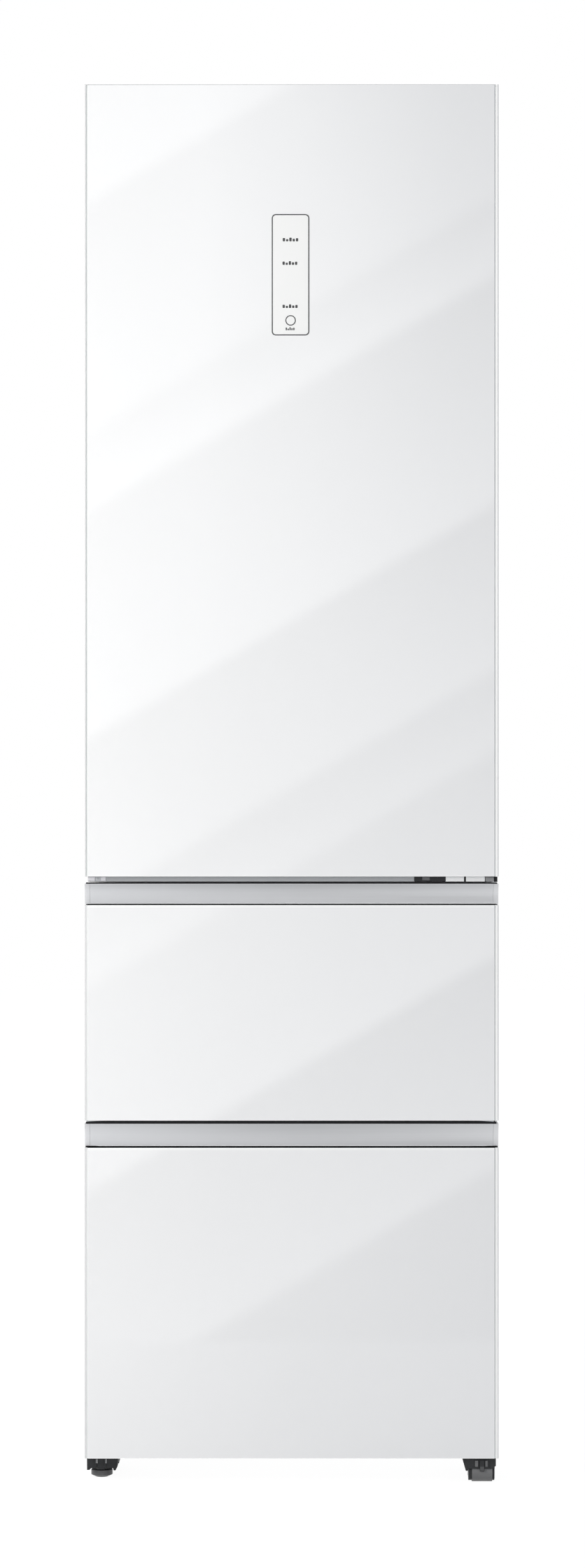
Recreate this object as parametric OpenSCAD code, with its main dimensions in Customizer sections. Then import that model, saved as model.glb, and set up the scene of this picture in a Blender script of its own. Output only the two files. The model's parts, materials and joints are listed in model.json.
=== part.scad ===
// Three-compartment fridge freezer: a hinged upper door over two pull-out freezer drawers.
// Millimetres, +Z up, +X to the viewer's right, the front faces -Y.
// The origin is on the floor, under the middle of the overall box.

/* [Overall] */
// Width across the fronts
width = 595; // [580:5:610]
// Height from the floor to the top of the door
height = 2010; // [1970:5:2050]
// Depth from the front glass to the wall spacers
depth = 672; // [660:1:690]

/* [Fronts] */
// Thickness of the door and drawer fronts
front_t = 62; // [60:1:66]
// Thickness of the front glass
glass_t = 4; // [3:0.5:5]
// Thickness of the touch film on the door glass
film_t = 0.3; // [0.2:0.1:0.5]
// Width of the side trims seen beside the glass
trim_w = 4; // [3:0.5:5]
// Height of the lowest front above the floor
fronts_base = 36.2; // [35:0.2:38]
// Height of the bottom drawer's glass
low_glass_h = 446.3; // [440:0.1:455]
// Height of the middle drawer's glass
mid_glass_h = 309.6; // [300:0.1:320]
// Height of the bottom drawer's grip band
low_grip_h = 32.4; // [28:0.2:36]
// Height of the middle drawer's grip band
mid_grip_h = 28.6; // [26:0.2:34]
// Depth of the grip channel behind the glass face
grip_depth = 24; // [20:1:26]
// Shadow gap between a grip band and the glass below it
grip_line = 2; // [1.5:0.1:3]
// Wall of the grip profile
grip_wall = 1.6; // [1.2:0.1:2]
// Corner radius inside the grip channel
grip_round = 9; // [6:0.5:11]
// Width of the finger pocket behind the glass edge
pocket_w = 8.5; // [7:0.5:10]
// Depth of the finger pocket below the glass edge
pocket_h = 14; // [10:1:20]
// Gap between the bottom drawer and the middle drawer
drawer_gap = 4.6; // [4:0.1:6]
// Gap between the middle drawer and the door
door_gap = 3.5; // [3.2:0.1:5]
// Height of the door's bottom cap below the glass
door_lip = 7; // [6:0.5:9]
// How far the bottom cap stands back from the glass face
lip_setback = 7; // [6:0.5:10]
// Height of the door's top cap
top_cap_h = 46; // [42:1:55]
// Thickness of the door's inner plastic panel
door_panel_t = 3; // [2:0.5:4]

/* [Control panel] */
// Width of the touch panel
panel_w = 54; // [44:1:70]
// Height of the touch panel
panel_h = 174.3; // [150:0.1:200]
// Corner radius of the touch panel
panel_r = 6; // [3:1:10]
// Middle of the touch panel to the left of the door's middle
panel_x = -1.6; // [-10:0.1:10]
// Distance of the touch panel's upper edge below the door's top
panel_drop = 186.4; // [120:0.1:260]
// Depth of the display module behind the glass
module_t = 9; // [6:1:14]

/* [Seals] */
// Thickness of the seals, from front to cabinet
seal_t = 12; // [10:1:14]
// Width of the seals
seal_w = 14; // [12:1:16]
// Distance of the seals from a front's side edge
seal_side = 14.5; // [14:0.5:18]
// Distance of the seals from a front's upper or lower edge
seal_edge = 6; // [5:0.5:8]

/* [Cabinet] */
// How far the fronts stand past the cabinet at each side
side_overlap = 2; // [1:0.5:3]
// How far the cabinet's top lies below the door's top
top_drop = 25; // [24:0.5:28]
// Height of the cabinet's underside above the floor
cabinet_base = 38; // [37:0.5:40]
// Steel sheet of the outer shell
sheet_t = 0.8; // [0.6:0.1:1]
// Depth of the layer of flanges and rails on the cabinet's face
face_t = 2; // [1.5:0.1:3]
// Width of the shell's front flanges
flange_w = 20; // [16:1:24]
// Wall of the plastic liners
liner_t = 1.5; // [1:0.1:2]
// Depth of the wall spacers at the back
spacer_t = 14; // [10:1:20]
// Width and height of a wall spacer
spacer_w = 40; // [30:1:60]
// Distance of the wall spacers' middles from the cabinet's sides
spacer_side = 105.5; // [60:0.5:140]
// Distance of the wall spacers below the cabinet's top
spacer_drop = 120; // [60:5:200]
// Insulation beside and above the fridge space
fridge_wall = 40; // [36:1:44]
// Insulation behind the fridge space
fridge_back_wall = 51; // [46:1:60]
// Insulation beside the freezer space
freezer_wall = 50; // [48:1:54]
// Insulation behind the freezer space
freezer_back_wall = 59; // [56:1:66]
// Insulation under the freezer space
freezer_floor = 42; // [38:1:48]
// Thickness of the floor between fridge and freezer
mullion_h = 65; // [60:1:72]
// Depth of the cross rail between the drawers
cross_rail_d = 30; // [20:1:34]
// Depth of the machine room
machine_d = 172; // [165:1:180]
// Height of the machine room
machine_h = 212; // [205:1:220]
// Insulation between machine room and freezer
machine_wall = 45; // [40:1:50]

/* [Door hinges] */
// Distance of the hinge axis from the door's side edge
hinge_side = 12.5; // [12:0.5:14]
// Distance of the hinge axis behind the front glass
hinge_depth = 28; // [26:0.5:32]
// Radius of the hinge pins
pin_r = 4; // [3:0.5:5]
// Running clearance round a pin
run = 0.05; // [0.03:0.01:0.1]
// Thickness of the top hinge plate
hinge_t = 5; // [4:0.5:6]
// Half width of the hinge arms
arm_r = 11; // [9:0.5:12]
// Length of the hinge pins
pin_l = 14; // [10:1:16]
// Thickness of the middle hinge plate
mid_hinge_t = 2.4; // [2:0.1:2.8]

/* [Door inside] */
// Thickness of the two dikes that carry the bins
dike_t = 14; // [10:1:16]
// Clearance between a dike and the fridge wall
dike_side = 13.5; // [11:0.5:18]
// Depth of the dikes
dike_d = 70; // [60:1:74]
// Depth of the door bins
bin_d = 104; // [90:1:112]
// Wall of the door bins
bin_wall = 2.5; // [2:0.5:3]
// Thickness of the raised field between the dikes
field_t = 6; // [4:0.5:8]
// Heights of the door bins' floors above the fridge floor
bin_up = [40.3, 385.3, 735.3];
// Heights of the door bins' front walls
bin_h = [130, 95, 95];
// Thickness of a peg or hook that carries a bin
peg_t = 6; // [5:0.5:8]

/* [Fridge space] */
// Heights of the glass shelves' undersides above the fridge floor
shelf_up = [300.3, 525.3, 785.3];
// Thickness of a glass shelf
shelf_t = 4; // [3:0.5:5]
// Height of the crisper's cover above the fridge floor
cover_up = 203.3; // [195:0.1:215]
// Room between the door bins and the shelves
shelf_gap = 26; // [24:1:44]
// Width of the ledges that carry the shelves
ledge_w = 8; // [6:1:10]
// Depth of the air duct at the back
tower_d = 24; // [22:1:28]
// Half width of the air duct at the back
tower_hw = 90; // [80:1:110]
// Wall of the crisper and chill drawer
crisper_wall = 3; // [2:0.5:4]
// How far the crisper and chill drawer stand behind the shelves' front edge
crisper_setback = 18; // [16:1:28]

/* [Freezer space] */
// Room for the rails beside a freezer basket
basket_side = 19.5; // [18.5:0.5:26]
// Wall of the freezer baskets
basket_wall = 3; // [2:0.5:4]
// Room between the middle basket and the evaporator cover
mid_basket_room = 55; // [45:1:95]
// Room between the bottom basket and the step behind it
low_basket_room = 24; // [19:1:60]
// Room above the middle basket
mid_basket_top = 50.2; // [38:0.1:90]
// Room between the bottom basket and the cross rail
low_basket_top = 44.9; // [35:0.1:100]
// Height of the outer rail members
rail_h = 40; // [36:1:44]
// Wall of the rail members
rail_wall = 1.5; // [1:0.1:2]
// Clearance between rail members
rail_gap = 0.5; // [0.3:0.1:0.8]
// Depth of the chamber behind the evaporator cover
evaporator_d = 62; // [56:1:66]

/* [Feet and rollers] */
// Radius of the front and rear rollers
roller_r = 16; // [14:0.5:17]
// Width of the front roller
roller_w = 29.6; // [24:0.2:32]
// Distance of the front roller's middle from the fronts' right edge
roller_side = 23.2; // [21.5:0.1:30]
// Distance of the front roller's axle behind the front glass
roller_depth = 24; // [20:1:40]
// Radius of the roller axles
axle_r = 3; // [2.5:0.5:4]
// Radius of the levelling foot's disc
foot_r = 15.5; // [12:0.5:18]
// Height of the levelling foot's disc
foot_h = 10.5; // [8:0.5:12]
// Radius of the levelling foot's stem
stem_r = 5; // [4:0.5:6]
// Distance of the levelling foot's middle from the fronts' left edge
foot_side = 22; // [21.5:0.5:32]
// Distance of the levelling foot behind the front glass
foot_depth = 68; // [60:1:76]

/* [Hidden] */

round_fn = 48;
arc_steps = 10;
// How far a cut runs past the face it opens
cut = 1;
// Gap between a moving piece and what carries it
rest_gap = 0.3;

half_w = width / 2;
front_y = -depth / 2;
back_y = depth / 2;
glass_y = front_y + film_t;
core_y = glass_y + glass_t;
inner_y = front_y + front_t;
face_y = inner_y + seal_t;
shell_y = back_y - spacer_t;
core_hw = half_w - trim_w;

low_glass_z1 = fronts_base + low_glass_h;
low_top = low_glass_z1 + grip_line + low_grip_h;
mid_base = low_top + drawer_gap;
mid_glass_z1 = mid_base + mid_glass_h;
mid_top = mid_glass_z1 + grip_line + mid_grip_h;
door_base = mid_top + door_gap;
door_glass_z0 = door_base + door_lip;

cab_hw = half_w - side_overlap;
cab_top = height - top_drop;
seal_x = half_w - seal_side;

rail_margin = 2;
cross_z0 = low_top - seal_edge - seal_w - rail_margin;
cross_z1 = mid_base + seal_edge + seal_w + rail_margin;
mullion_z0 = mid_top - seal_edge - seal_w - rail_margin;
mullion_z1 = mullion_z0 + mullion_h;

fridge_hw = cab_hw - fridge_wall;
fridge_z0 = mullion_z1;
fridge_z1 = cab_top - fridge_wall;
fridge_back = shell_y - fridge_back_wall;
freezer_hw = cab_hw - freezer_wall;
freezer_z0 = cabinet_base + freezer_floor;
freezer_z1 = mullion_z0;
freezer_back = shell_y - freezer_back_wall;
machine_y = shell_y - machine_d;
machine_z1 = cabinet_base + machine_h;
step_y = machine_y - machine_wall;
step_z = machine_z1 + machine_wall;

hinge_x = half_w - hinge_side;
hinge_y = front_y + hinge_depth;
pocket_gap = 0.6;
pocket_floor = cab_top - pocket_gap;
core_top = height - top_cap_h;
cap_overlap = 8;
bottom_cap_z1 = door_glass_z0 + cap_overlap;
panel_z = height - panel_drop - panel_h;

pan_t = 1.5;
room_gap = 3;
room_x = cab_hw - room_gap;
skin_y = face_y + face_t;

basket_hw = freezer_hw - basket_side;
evap_cover_y = freezer_back - evaporator_d;
mid_basket_d = evap_cover_y - mid_basket_room - inner_y;
low_basket_d = step_y - low_basket_room - inner_y;
mid_basket_up = 8;
low_basket_up = 10;
mid_basket_z = cross_z1 + mid_basket_up;
low_basket_z = freezer_z0 + low_basket_up;
mid_basket_h = freezer_z1 - mid_basket_top - mid_basket_z;
low_basket_h = cross_z0 - low_basket_top - low_basket_z;

foot_x = -half_w + foot_side;
roller_x = half_w - roller_side;
dike_x = fridge_hw - dike_side - dike_t;
shelf_z = [for (up = shelf_up) fridge_z0 + up];
cover_z = fridge_z0 + cover_up;
bin_z = [for (up = bin_up) fridge_z0 + up];
shelf_front = inner_y + field_t + bin_d + shelf_gap;
crisper_front = shelf_front + crisper_setback;

// A box between two corners
module block(lo, hi) {
    translate(lo) cube(hi - lo);
}

// The same box on both sides of the middle plane
module pair_x(lo, hi) {
    block(lo, hi);
    mirror([1, 0, 0]) block(lo, hi);
}

// A rounded rectangle in the plane, made of squares and circles so that its corners stay true arcs
module rounded(w, h, r) {
    translate([r, 0]) square([w - 2 * r, h]);
    translate([0, r]) square([w, h - 2 * r]);
    for (x = [r, w - r], y = [r, h - r]) translate([x, y]) circle(r, $fn = round_fn);
}

// A rounded plate standing upright, facing the front
module front_plate(x0, z0, w, h, r, y0, t) {
    translate([x0, y0 + t, z0]) rotate([90, 0, 0]) linear_extrude(t) rounded(w, h, r);
}

// A cylinder between two heights
module post(x, y, z0, z1, r) {
    translate([x, y, z0]) cylinder(h = z1 - z0, r = r, $fn = round_fn);
}

// A cylinder along X
module rod_x(x0, x1, y, z, r) {
    translate([x0, y, z]) rotate([0, 90, 0]) cylinder(h = x1 - x0, r = r, $fn = round_fn);
}

// A cylinder along Y
module rod_y(x, z, y0, y1, r) {
    translate([x, y1, z]) rotate([90, 0, 0]) cylinder(h = y1 - y0, r = r, $fn = round_fn);
}

// A box open on one side: side 1 is the front, side 2 the top
module open_box(lo, hi, wall, side) {
    difference() {
        block(lo, hi);
        block(lo + [wall, side == 1 ? -cut : wall, wall],
              hi - [wall, wall, side == 2 ? -cut : wall]);
    }
}

// An upright rectangular frame
module frame_ring(x, z0, z1, w, y0, y1) {
    difference() {
        block([-x, y0, z0], [x, y1, z1]);
        block([-x + w, y0 - cut, z0 + w], [x - w, y1 + cut, z1 - w]);
    }
}

// Cabinet

module cabinet_shell() color("white") {
    difference() {
        block([-cab_hw, face_y, cabinet_base], [cab_hw, shell_y - sheet_t, cab_top]);
        block([-cab_hw + sheet_t, face_y - cut, cabinet_base - cut],
              [cab_hw - sheet_t, shell_y + cut, cab_top - sheet_t]);
    }
    pair_x([cab_hw - flange_w, face_y, cabinet_base], [cab_hw, face_y + sheet_t, cab_top]);
    block([-cab_hw, face_y, cab_top - flange_w], [cab_hw, face_y + sheet_t, cab_top]);
}

spacer_wall = 3;
spacer_x = cab_hw - spacer_side;
spacer_z = cab_top - spacer_drop;
module back_panel() color("gainsboro") {
    block([-cab_hw, shell_y - sheet_t, machine_z1], [cab_hw, shell_y, cab_top]);
    for (x = [-spacer_x, spacer_x]) difference() {
        block([x - spacer_w / 2, shell_y - sheet_t, spacer_z - spacer_w],
              [x + spacer_w / 2, back_y, spacer_z]);
        block([x - spacer_w / 2 + spacer_wall, shell_y, spacer_z - spacer_w + spacer_wall],
              [x + spacer_w / 2 - spacer_wall, back_y + cut, spacer_z - spacer_wall]);
    }
}

rear_inset = 46;
rear_y = back_y - rear_inset;
rear_axle_r = axle_r + 1;
rear_w = 20;
rear_x = cab_hw - rear_w;
tab_t = 3;
tab_gap = 1;
tab_hd = 14;
tab_eye_r = rear_axle_r + 5;
module rear_tab(x) {
    difference() {
        union() {
            block([x, rear_y - tab_hd, roller_r], [x + tab_t, rear_y + tab_hd, cabinet_base + pan_t]);
            rod_x(x, x + tab_t, rear_y, roller_r, tab_eye_r);
        }
        rod_x(x - cut, x + tab_t + cut, rear_y, roller_r, rear_axle_r + run);
    }
}

module base_pan() color("silver") {
    block([-cab_hw + sheet_t, skin_y, cabinet_base],
          [cab_hw - sheet_t, shell_y - sheet_t, cabinet_base + pan_t]);
    for (side = [-1, 1], edge = [-1, 1]) {
        inner = side * rear_x + edge * (rear_w / 2 + tab_gap);
        rear_tab(edge > 0 ? inner : inner - tab_t);
    }
}

duct_hw = 50;
duct_margin = 3;
duct_y0 = fridge_back - tower_d + duct_margin;
duct_y1 = freezer_back - duct_margin;
module duct_hole() {
    block([-duct_hw, duct_y0, mullion_z0 - duct_margin],
          [duct_hw, duct_y1, mullion_z1 + duct_margin]);
}

module fridge_space(grow) {
    block([-fridge_hw - grow, face_y - cut, fridge_z0 - grow],
          [fridge_hw + grow, fridge_back + grow, fridge_z1 + grow]);
}

module freezer_space(grow) {
    block([-freezer_hw - grow, face_y - cut, step_z - grow],
          [freezer_hw + grow, freezer_back + grow, freezer_z1 + grow]);
    block([-freezer_hw - grow, face_y - cut, freezer_z0 - grow],
          [freezer_hw + grow, step_y + grow, freezer_z1 + grow]);
}

// One block of insulation, a seam smaller on each side than its place
foam_seam = 0.05;
module foam_block(lo, hi) {
    seam = [foam_seam, foam_seam, foam_seam];
    block(lo + seam, hi - seam);
}

module foam_pair(lo, hi) {
    foam_block(lo, hi);
    mirror([1, 0, 0]) foam_block(lo, hi);
}

foam_hw = cab_hw - sheet_t;
foam_y1 = shell_y - sheet_t;
foam_z0 = cabinet_base + pan_t;
foam_z1 = cab_top - sheet_t;
fridge_x = fridge_hw + liner_t;
freezer_x = freezer_hw + liner_t;
fridge_floor = fridge_z0 - liner_t;
freezer_roof = freezer_z1 + liner_t;
module cabinet_foam() color("khaki") {
    foam_pair([fridge_x, skin_y, fridge_floor], [foam_hw, foam_y1, foam_z1]);
    foam_block([-fridge_x, skin_y, fridge_z1 + liner_t], [fridge_x, foam_y1, foam_z1]);
    foam_block([-fridge_x, fridge_back + liner_t, fridge_floor], [fridge_x, foam_y1, fridge_z1 + liner_t]);
    difference() {
        foam_block([-foam_hw, skin_y, freezer_roof], [foam_hw, foam_y1, fridge_floor]);
        duct_hole();
    }
    foam_pair([freezer_x, skin_y, foam_z0], [foam_hw, machine_y, freezer_roof]);
    foam_pair([freezer_x, machine_y, machine_z1], [foam_hw, foam_y1, freezer_roof]);
    foam_block([-freezer_x, freezer_back + liner_t, machine_z1], [freezer_x, foam_y1, freezer_roof]);
    foam_block([-freezer_x, step_y + liner_t, machine_z1],
               [freezer_x, freezer_back + liner_t, step_z - liner_t]);
    foam_block([-freezer_x, step_y + liner_t, foam_z0], [freezer_x, machine_y, machine_z1]);
    foam_block([-freezer_x, skin_y, foam_z0], [freezer_x, step_y + liner_t, freezer_z0 - liner_t]);
}

ledge_t = 6;
module fridge_liner() color("white") {
    difference() {
        union() {
            intersection() {
                fridge_space(liner_t);
                block([-cab_hw, face_y, mullion_z0], [cab_hw, shell_y, cab_top]);
            }
            block([-cab_hw + flange_w, face_y, mullion_z1 - liner_t],
                  [cab_hw - flange_w, skin_y, cab_top - flange_w]);
        }
        fridge_space(0);
        duct_hole();
    }
    for (z = concat([cover_z], shelf_z))
        pair_x([fridge_hw - ledge_w, shelf_front, z - ledge_t],
               [fridge_hw, fridge_back - tower_d, z]);
}

module freezer_liner() color("white") {
    difference() {
        union() {
            intersection() {
                freezer_space(liner_t);
                block([-cab_hw, face_y, cabinet_base], [cab_hw, shell_y, mullion_z1]);
            }
            block([-cab_hw + flange_w, face_y, cabinet_base],
                  [cab_hw - flange_w, skin_y, mullion_z0 + liner_t]);
        }
        freezer_space(0);
        duct_hole();
    }
}

module front_rails() color("silver") {
    block([-cab_hw + flange_w, face_y, mullion_z0 + liner_t],
          [cab_hw - flange_w, skin_y, mullion_z1 - liner_t]);
    block([-freezer_hw, face_y, cross_z0], [freezer_hw, face_y + cross_rail_d, cross_z1]);
}

// Hinges, cover and board on top

plate_x0 = cab_hw - 80;
plate_x1 = cab_hw - 2;
plate_y0 = face_y + 3;
plate_y1 = face_y + 70;
nose_r = arm_r - 1;
module top_hinge() color("silver") {
    block([plate_x0, plate_y0, cab_top], [plate_x1, plate_y1, cab_top + hinge_t]);
    block([hinge_x - arm_r, hinge_y, cab_top], [hinge_x + nose_r, plate_y0 + cut, cab_top + hinge_t]);
    post(hinge_x, hinge_y, cab_top, cab_top + hinge_t, nose_r);
    post(hinge_x, hinge_y, cab_top - pin_l, cab_top + cut, pin_r);
}

cover_h = 19;
cover_wall = 2;
cover_side_wall = 1.2;
cover_l = 465.5;
cover_x0 = cab_hw - cover_l;
cover_y0 = face_y + 1;
cover_y1 = plate_y1 + 12;
arm_gap = 1;
module top_cover() color("white") {
    difference() {
        block([cover_x0, cover_y0, cab_top], [cab_hw, cover_y1, cab_top + cover_h]);
        block([cover_x0 + cover_wall, cover_y0 + cover_wall, cab_top - cut],
              [cab_hw - cover_side_wall, cover_y1 - cover_wall, cab_top + cover_h - cover_wall]);
        block([hinge_x - arm_r - arm_gap, face_y - cut, cab_top - cut],
              [hinge_x + arm_r + arm_gap, cover_y0 + cover_wall + cut, cab_top + hinge_t + arm_gap]);
    }
}

board_x = cover_x0 + 20;
board_w = 180;
board_d = 70;
board_t = 1.6;
board_stand = 4;
stand_inset = 6;
stand_r = 3;
chip_margin = 14;
chip_pitch = 32;
chip_w = 20;
chip_d = 20;
chip_h = 7.4;
module control_board() color("seagreen") {
    y0 = face_y + 7;
    board_z = cab_top + board_stand;
    for (x = [board_x + stand_inset, board_x + board_w - stand_inset],
         y = [y0 + stand_inset, y0 + board_d - stand_inset])
        post(x, y, cab_top, board_z, stand_r);
    block([board_x, y0, board_z], [board_x + board_w, y0 + board_d, board_z + board_t]);
    for (k = [0:4])
        block([board_x + chip_margin + k * chip_pitch, y0 + chip_margin, board_z + board_t],
              [board_x + chip_margin + chip_w + k * chip_pitch,
               y0 + chip_margin + chip_d * (1 + 0.25 * (k % 2)), board_z + board_t + chip_h]);
}

leg_t = 3;
leg_w = 45;
leg_gap = 0.6;
leg_y0 = face_y - leg_t;
leg_x0 = hinge_x - leg_w;
leg_z0 = mid_top - seal_edge + leg_gap;
leg_z1 = door_base + seal_edge - leg_gap;
mid_pin_l = pin_l - 4;
mid_plate_z1 = door_base - rest_gap;
mid_plate_z0 = mid_plate_z1 - mid_hinge_t;
module middle_hinge() color("silver") {
    block([hinge_x - arm_r, hinge_y, mid_plate_z0], [hinge_x + nose_r, face_y, mid_plate_z1]);
    post(hinge_x, hinge_y, mid_plate_z0, mid_plate_z1, nose_r);
    post(hinge_x, hinge_y, mid_plate_z1 - cut, mid_plate_z1 + mid_pin_l, pin_r);
    block([leg_x0, leg_y0, leg_z0], [cab_hw, face_y, leg_z1]);
}

// Machine room

comp_x = cab_hw - 145.5;
comp_y = machine_y + machine_d / 2;
comp_r = 62;
comp_h = 118;
comp_wall = 3;
comp_round = 30;
comp_foot_h = 12;
comp_foot_r = 8;
comp_plate = [80, 45, 3];
comp_foot = [68, 34];
comp_z = cabinet_base + pan_t + comp_foot_h;
// Half section of the compressor's pot: a cylinder with a rounded shoulder
module pot_section(r, h, fillet) {
    square([r, h - fillet]);
    square([r - fillet, h]);
    translate([r - fillet, h - fillet]) circle(fillet, $fn = round_fn);
}

module compressor() color("dimgray") {
    translate([comp_x, comp_y, comp_z]) rotate_extrude($fn = round_fn) difference() {
        pot_section(comp_r, comp_h, comp_round);
        translate([0, comp_wall])
            pot_section(comp_r - comp_wall, comp_h - 2 * comp_wall, comp_round - comp_wall);
    }
    block([comp_x - comp_plate[0], comp_y - comp_plate[1], comp_z - comp_plate[2]],
          [comp_x + comp_plate[0], comp_y + comp_plate[1], comp_z]);
    for (x = [-1, 1], y = [-1, 1])
        post(comp_x + x * comp_foot[0], comp_y + y * comp_foot[1], cabinet_base + pan_t,
             comp_z - comp_plate[2], comp_foot_r);
}

coil_x0 = -cab_hw + 43.5;
coil_l = 174;
coil_x1 = coil_x0 + coil_l;
coil_r = 2.4;
coil_rows = 6;
coil_pitch = 22;
coil_y0 = machine_y + 45;
coil_layer = 50;
coil_y = [coil_y0, coil_y0 + coil_layer];
coil_z = cabinet_base + 60;
fin_margin = 16;
fin_pitch = 20;
fin_count = 8;
fin_t = 1.6;
fin_hd = 3.6;
fin_up = 8;
end_plate_t = 3;
end_plate_in = 8;
end_plate_margin = 6;
coil_top = coil_z + (coil_rows - 1) * coil_pitch;
bend_r = coil_r - 0.3;
module condenser() color("black") {
    for (y = coil_y) {
        for (k = [0:coil_rows - 1])
            rod_x(coil_x0, coil_x1, y, coil_z + k * coil_pitch, coil_r);
        for (k = [0:coil_rows - 2])
            post(k % 2 == 0 ? coil_x1 - coil_r : coil_x0 + coil_r, y, coil_z + k * coil_pitch,
                 coil_z + (k + 1) * coil_pitch, bend_r);
        for (k = [0:fin_count - 1])
            block([coil_x0 + fin_margin + k * fin_pitch, y - fin_hd, coil_z - fin_up],
                  [coil_x0 + fin_margin + k * fin_pitch + fin_t, y + fin_hd, coil_top + fin_up]);
    }
    for (x = [coil_x0 + end_plate_in, coil_x1 - end_plate_in - end_plate_t])
        block([x, coil_y[0] - end_plate_margin, cabinet_base + pan_t],
              [x + end_plate_t, coil_y[1] + end_plate_margin, coil_top + end_plate_margin]);
}

fan_x = coil_x1 + 48;
fan_z = machine_z1 - 100;
fan_r = 62;
fan_gap = 4;
fan_w = 14;
fan_hub_r = 16;
fan_shaft_r = 2.5;
frame_t = 8;
frame_hd = fan_r + 12;
strut_x0 = fan_x + 20;
strut_x1 = strut_x0 + 4;
strut_reach = fan_r + 10;
strut_hw = 3;
strut_foot = 5;
motor_r = 22;
motor_l = 32;
module fan_frame() color("black") {
    difference() {
        block([fan_x - frame_t / 2, comp_y - frame_hd, cabinet_base + pan_t],
              [fan_x + frame_t / 2, comp_y + frame_hd, fan_z + frame_hd]);
        rod_x(fan_x - frame_t, fan_x + frame_t, comp_y, fan_z, fan_r + fan_gap);
    }
    for (side = [-1, 1]) rotate_about_x(comp_y, fan_z, 45 * side)
        block([strut_x0, comp_y - strut_reach, fan_z - strut_hw],
              [strut_x1, comp_y + strut_reach, fan_z + strut_hw]);
    for (a = [45, 135, 225, 315]) rotate_about_x(comp_y, fan_z, a)
        block([fan_x, comp_y + strut_reach - strut_foot, fan_z - strut_hw],
              [strut_x1, comp_y + strut_reach, fan_z + strut_hw]);
    rod_x(strut_x0, strut_x0 + motor_l, comp_y, fan_z, motor_r);
    rod_x(fan_x - fan_w / 2 - cut, strut_x0 + cut, comp_y, fan_z, fan_shaft_r);
}

// Children turned about an axis along X
module rotate_about_x(y, z, a) {
    translate([0, y, z]) rotate([a, 0, 0]) translate([0, -y, -z]) children();
}

blades = 5;
blade_pitch = 32;
blade_chord = 34;
blade_t = 2;
module fan_wheel(r, hub_r, w) {
    difference() {
        union() {
            cylinder(h = w, r = hub_r, center = true, $fn = round_fn);
            intersection() {
                cylinder(h = w, r = r, center = true, $fn = round_fn);
                for (k = [0:blades - 1]) rotate([0, 0, k * 360 / blades])
                    translate([r / 2, 0, 0]) rotate([blade_pitch, 0, 0])
                        cube([r + fan_gap, blade_chord, blade_t], center = true);
            }
        }
        cylinder(h = w + 2 * cut, r = fan_shaft_r + run, center = true, $fn = round_fn);
    }
}

module condenser_fan() color("dimgray") {
    translate([fan_x, comp_y, fan_z]) rotate([0, 90, 0]) fan_wheel(fan_r, fan_hub_r, fan_w);
}

tray_z = cabinet_base + pan_t;
tray_h = 34;
tray_wall = 2;
tray_in = end_plate_in + end_plate_t + 3;
module drip_tray() color("gray") {
    open_box([coil_x0 + tray_in, machine_y + 12, tray_z],
             [coil_x1 - tray_in, shell_y - 30, tray_z + tray_h], tray_wall, 2);
}

grille_t = 2;
grille_gap = 0.5;
slot_w = 4;
slot_pitch = 11;
slot_count = 10;
slot_l = 180;
slot_x = cab_hw - 145.5;
slot_z = cabinet_base + 62;
inlet_x = -slot_x;
inlet_z = cabinet_base + 30;
inlet_w = 30;
inlet_h = 24;
module machine_cover() color("dimgray") {
    difference() {
        block([-room_x, shell_y - grille_t, cabinet_base + pan_t + grille_gap],
              [room_x, shell_y, machine_z1 - grille_gap]);
        for (side = [-1, 1], k = [0:slot_count - 1])
            block([side * slot_x - slot_l / 2, shell_y - grille_t - cut, slot_z + k * slot_pitch],
                  [side * slot_x + slot_l / 2, shell_y + cut, slot_z + slot_w + k * slot_pitch]);
        block([inlet_x - inlet_w / 2, shell_y - grille_t - cut, inlet_z - inlet_h / 2],
              [inlet_x + inlet_w / 2, shell_y + cut, inlet_z + inlet_h / 2]);
    }
}

inlet_d = 24;
inlet_wall = 3;
inlet_floor = 7;
inlet_flange = 4;
inlet_flange_t = 3;
contact_pitch = 7;
contact = [1, 2];
module mains_inlet() color("black") {
    hw = inlet_w / 2;
    hh = inlet_h / 2;
    difference() {
        union() {
            block([inlet_x - hw, shell_y - inlet_d, inlet_z - hh], [inlet_x + hw, shell_y, inlet_z + hh]);
            block([inlet_x - hw - inlet_flange, shell_y, inlet_z - hh - inlet_flange],
                  [inlet_x + hw + inlet_flange, shell_y + inlet_flange_t, inlet_z + hh + inlet_flange]);
        }
        block([inlet_x - hw + inlet_wall, shell_y - inlet_d + inlet_floor, inlet_z - hh + inlet_wall],
              [inlet_x + hw - inlet_wall, shell_y + inlet_flange_t + cut, inlet_z + hh - inlet_wall]);
    }
    for (k = [-1, 0, 1])
        block([inlet_x + contact_pitch * k - contact[0], shell_y - inlet_d + inlet_floor - cut,
               inlet_z - contact[1]],
              [inlet_x + contact_pitch * k + contact[0], shell_y - contact[1], inlet_z + contact[1]]);
}

// Freezer inside

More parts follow.
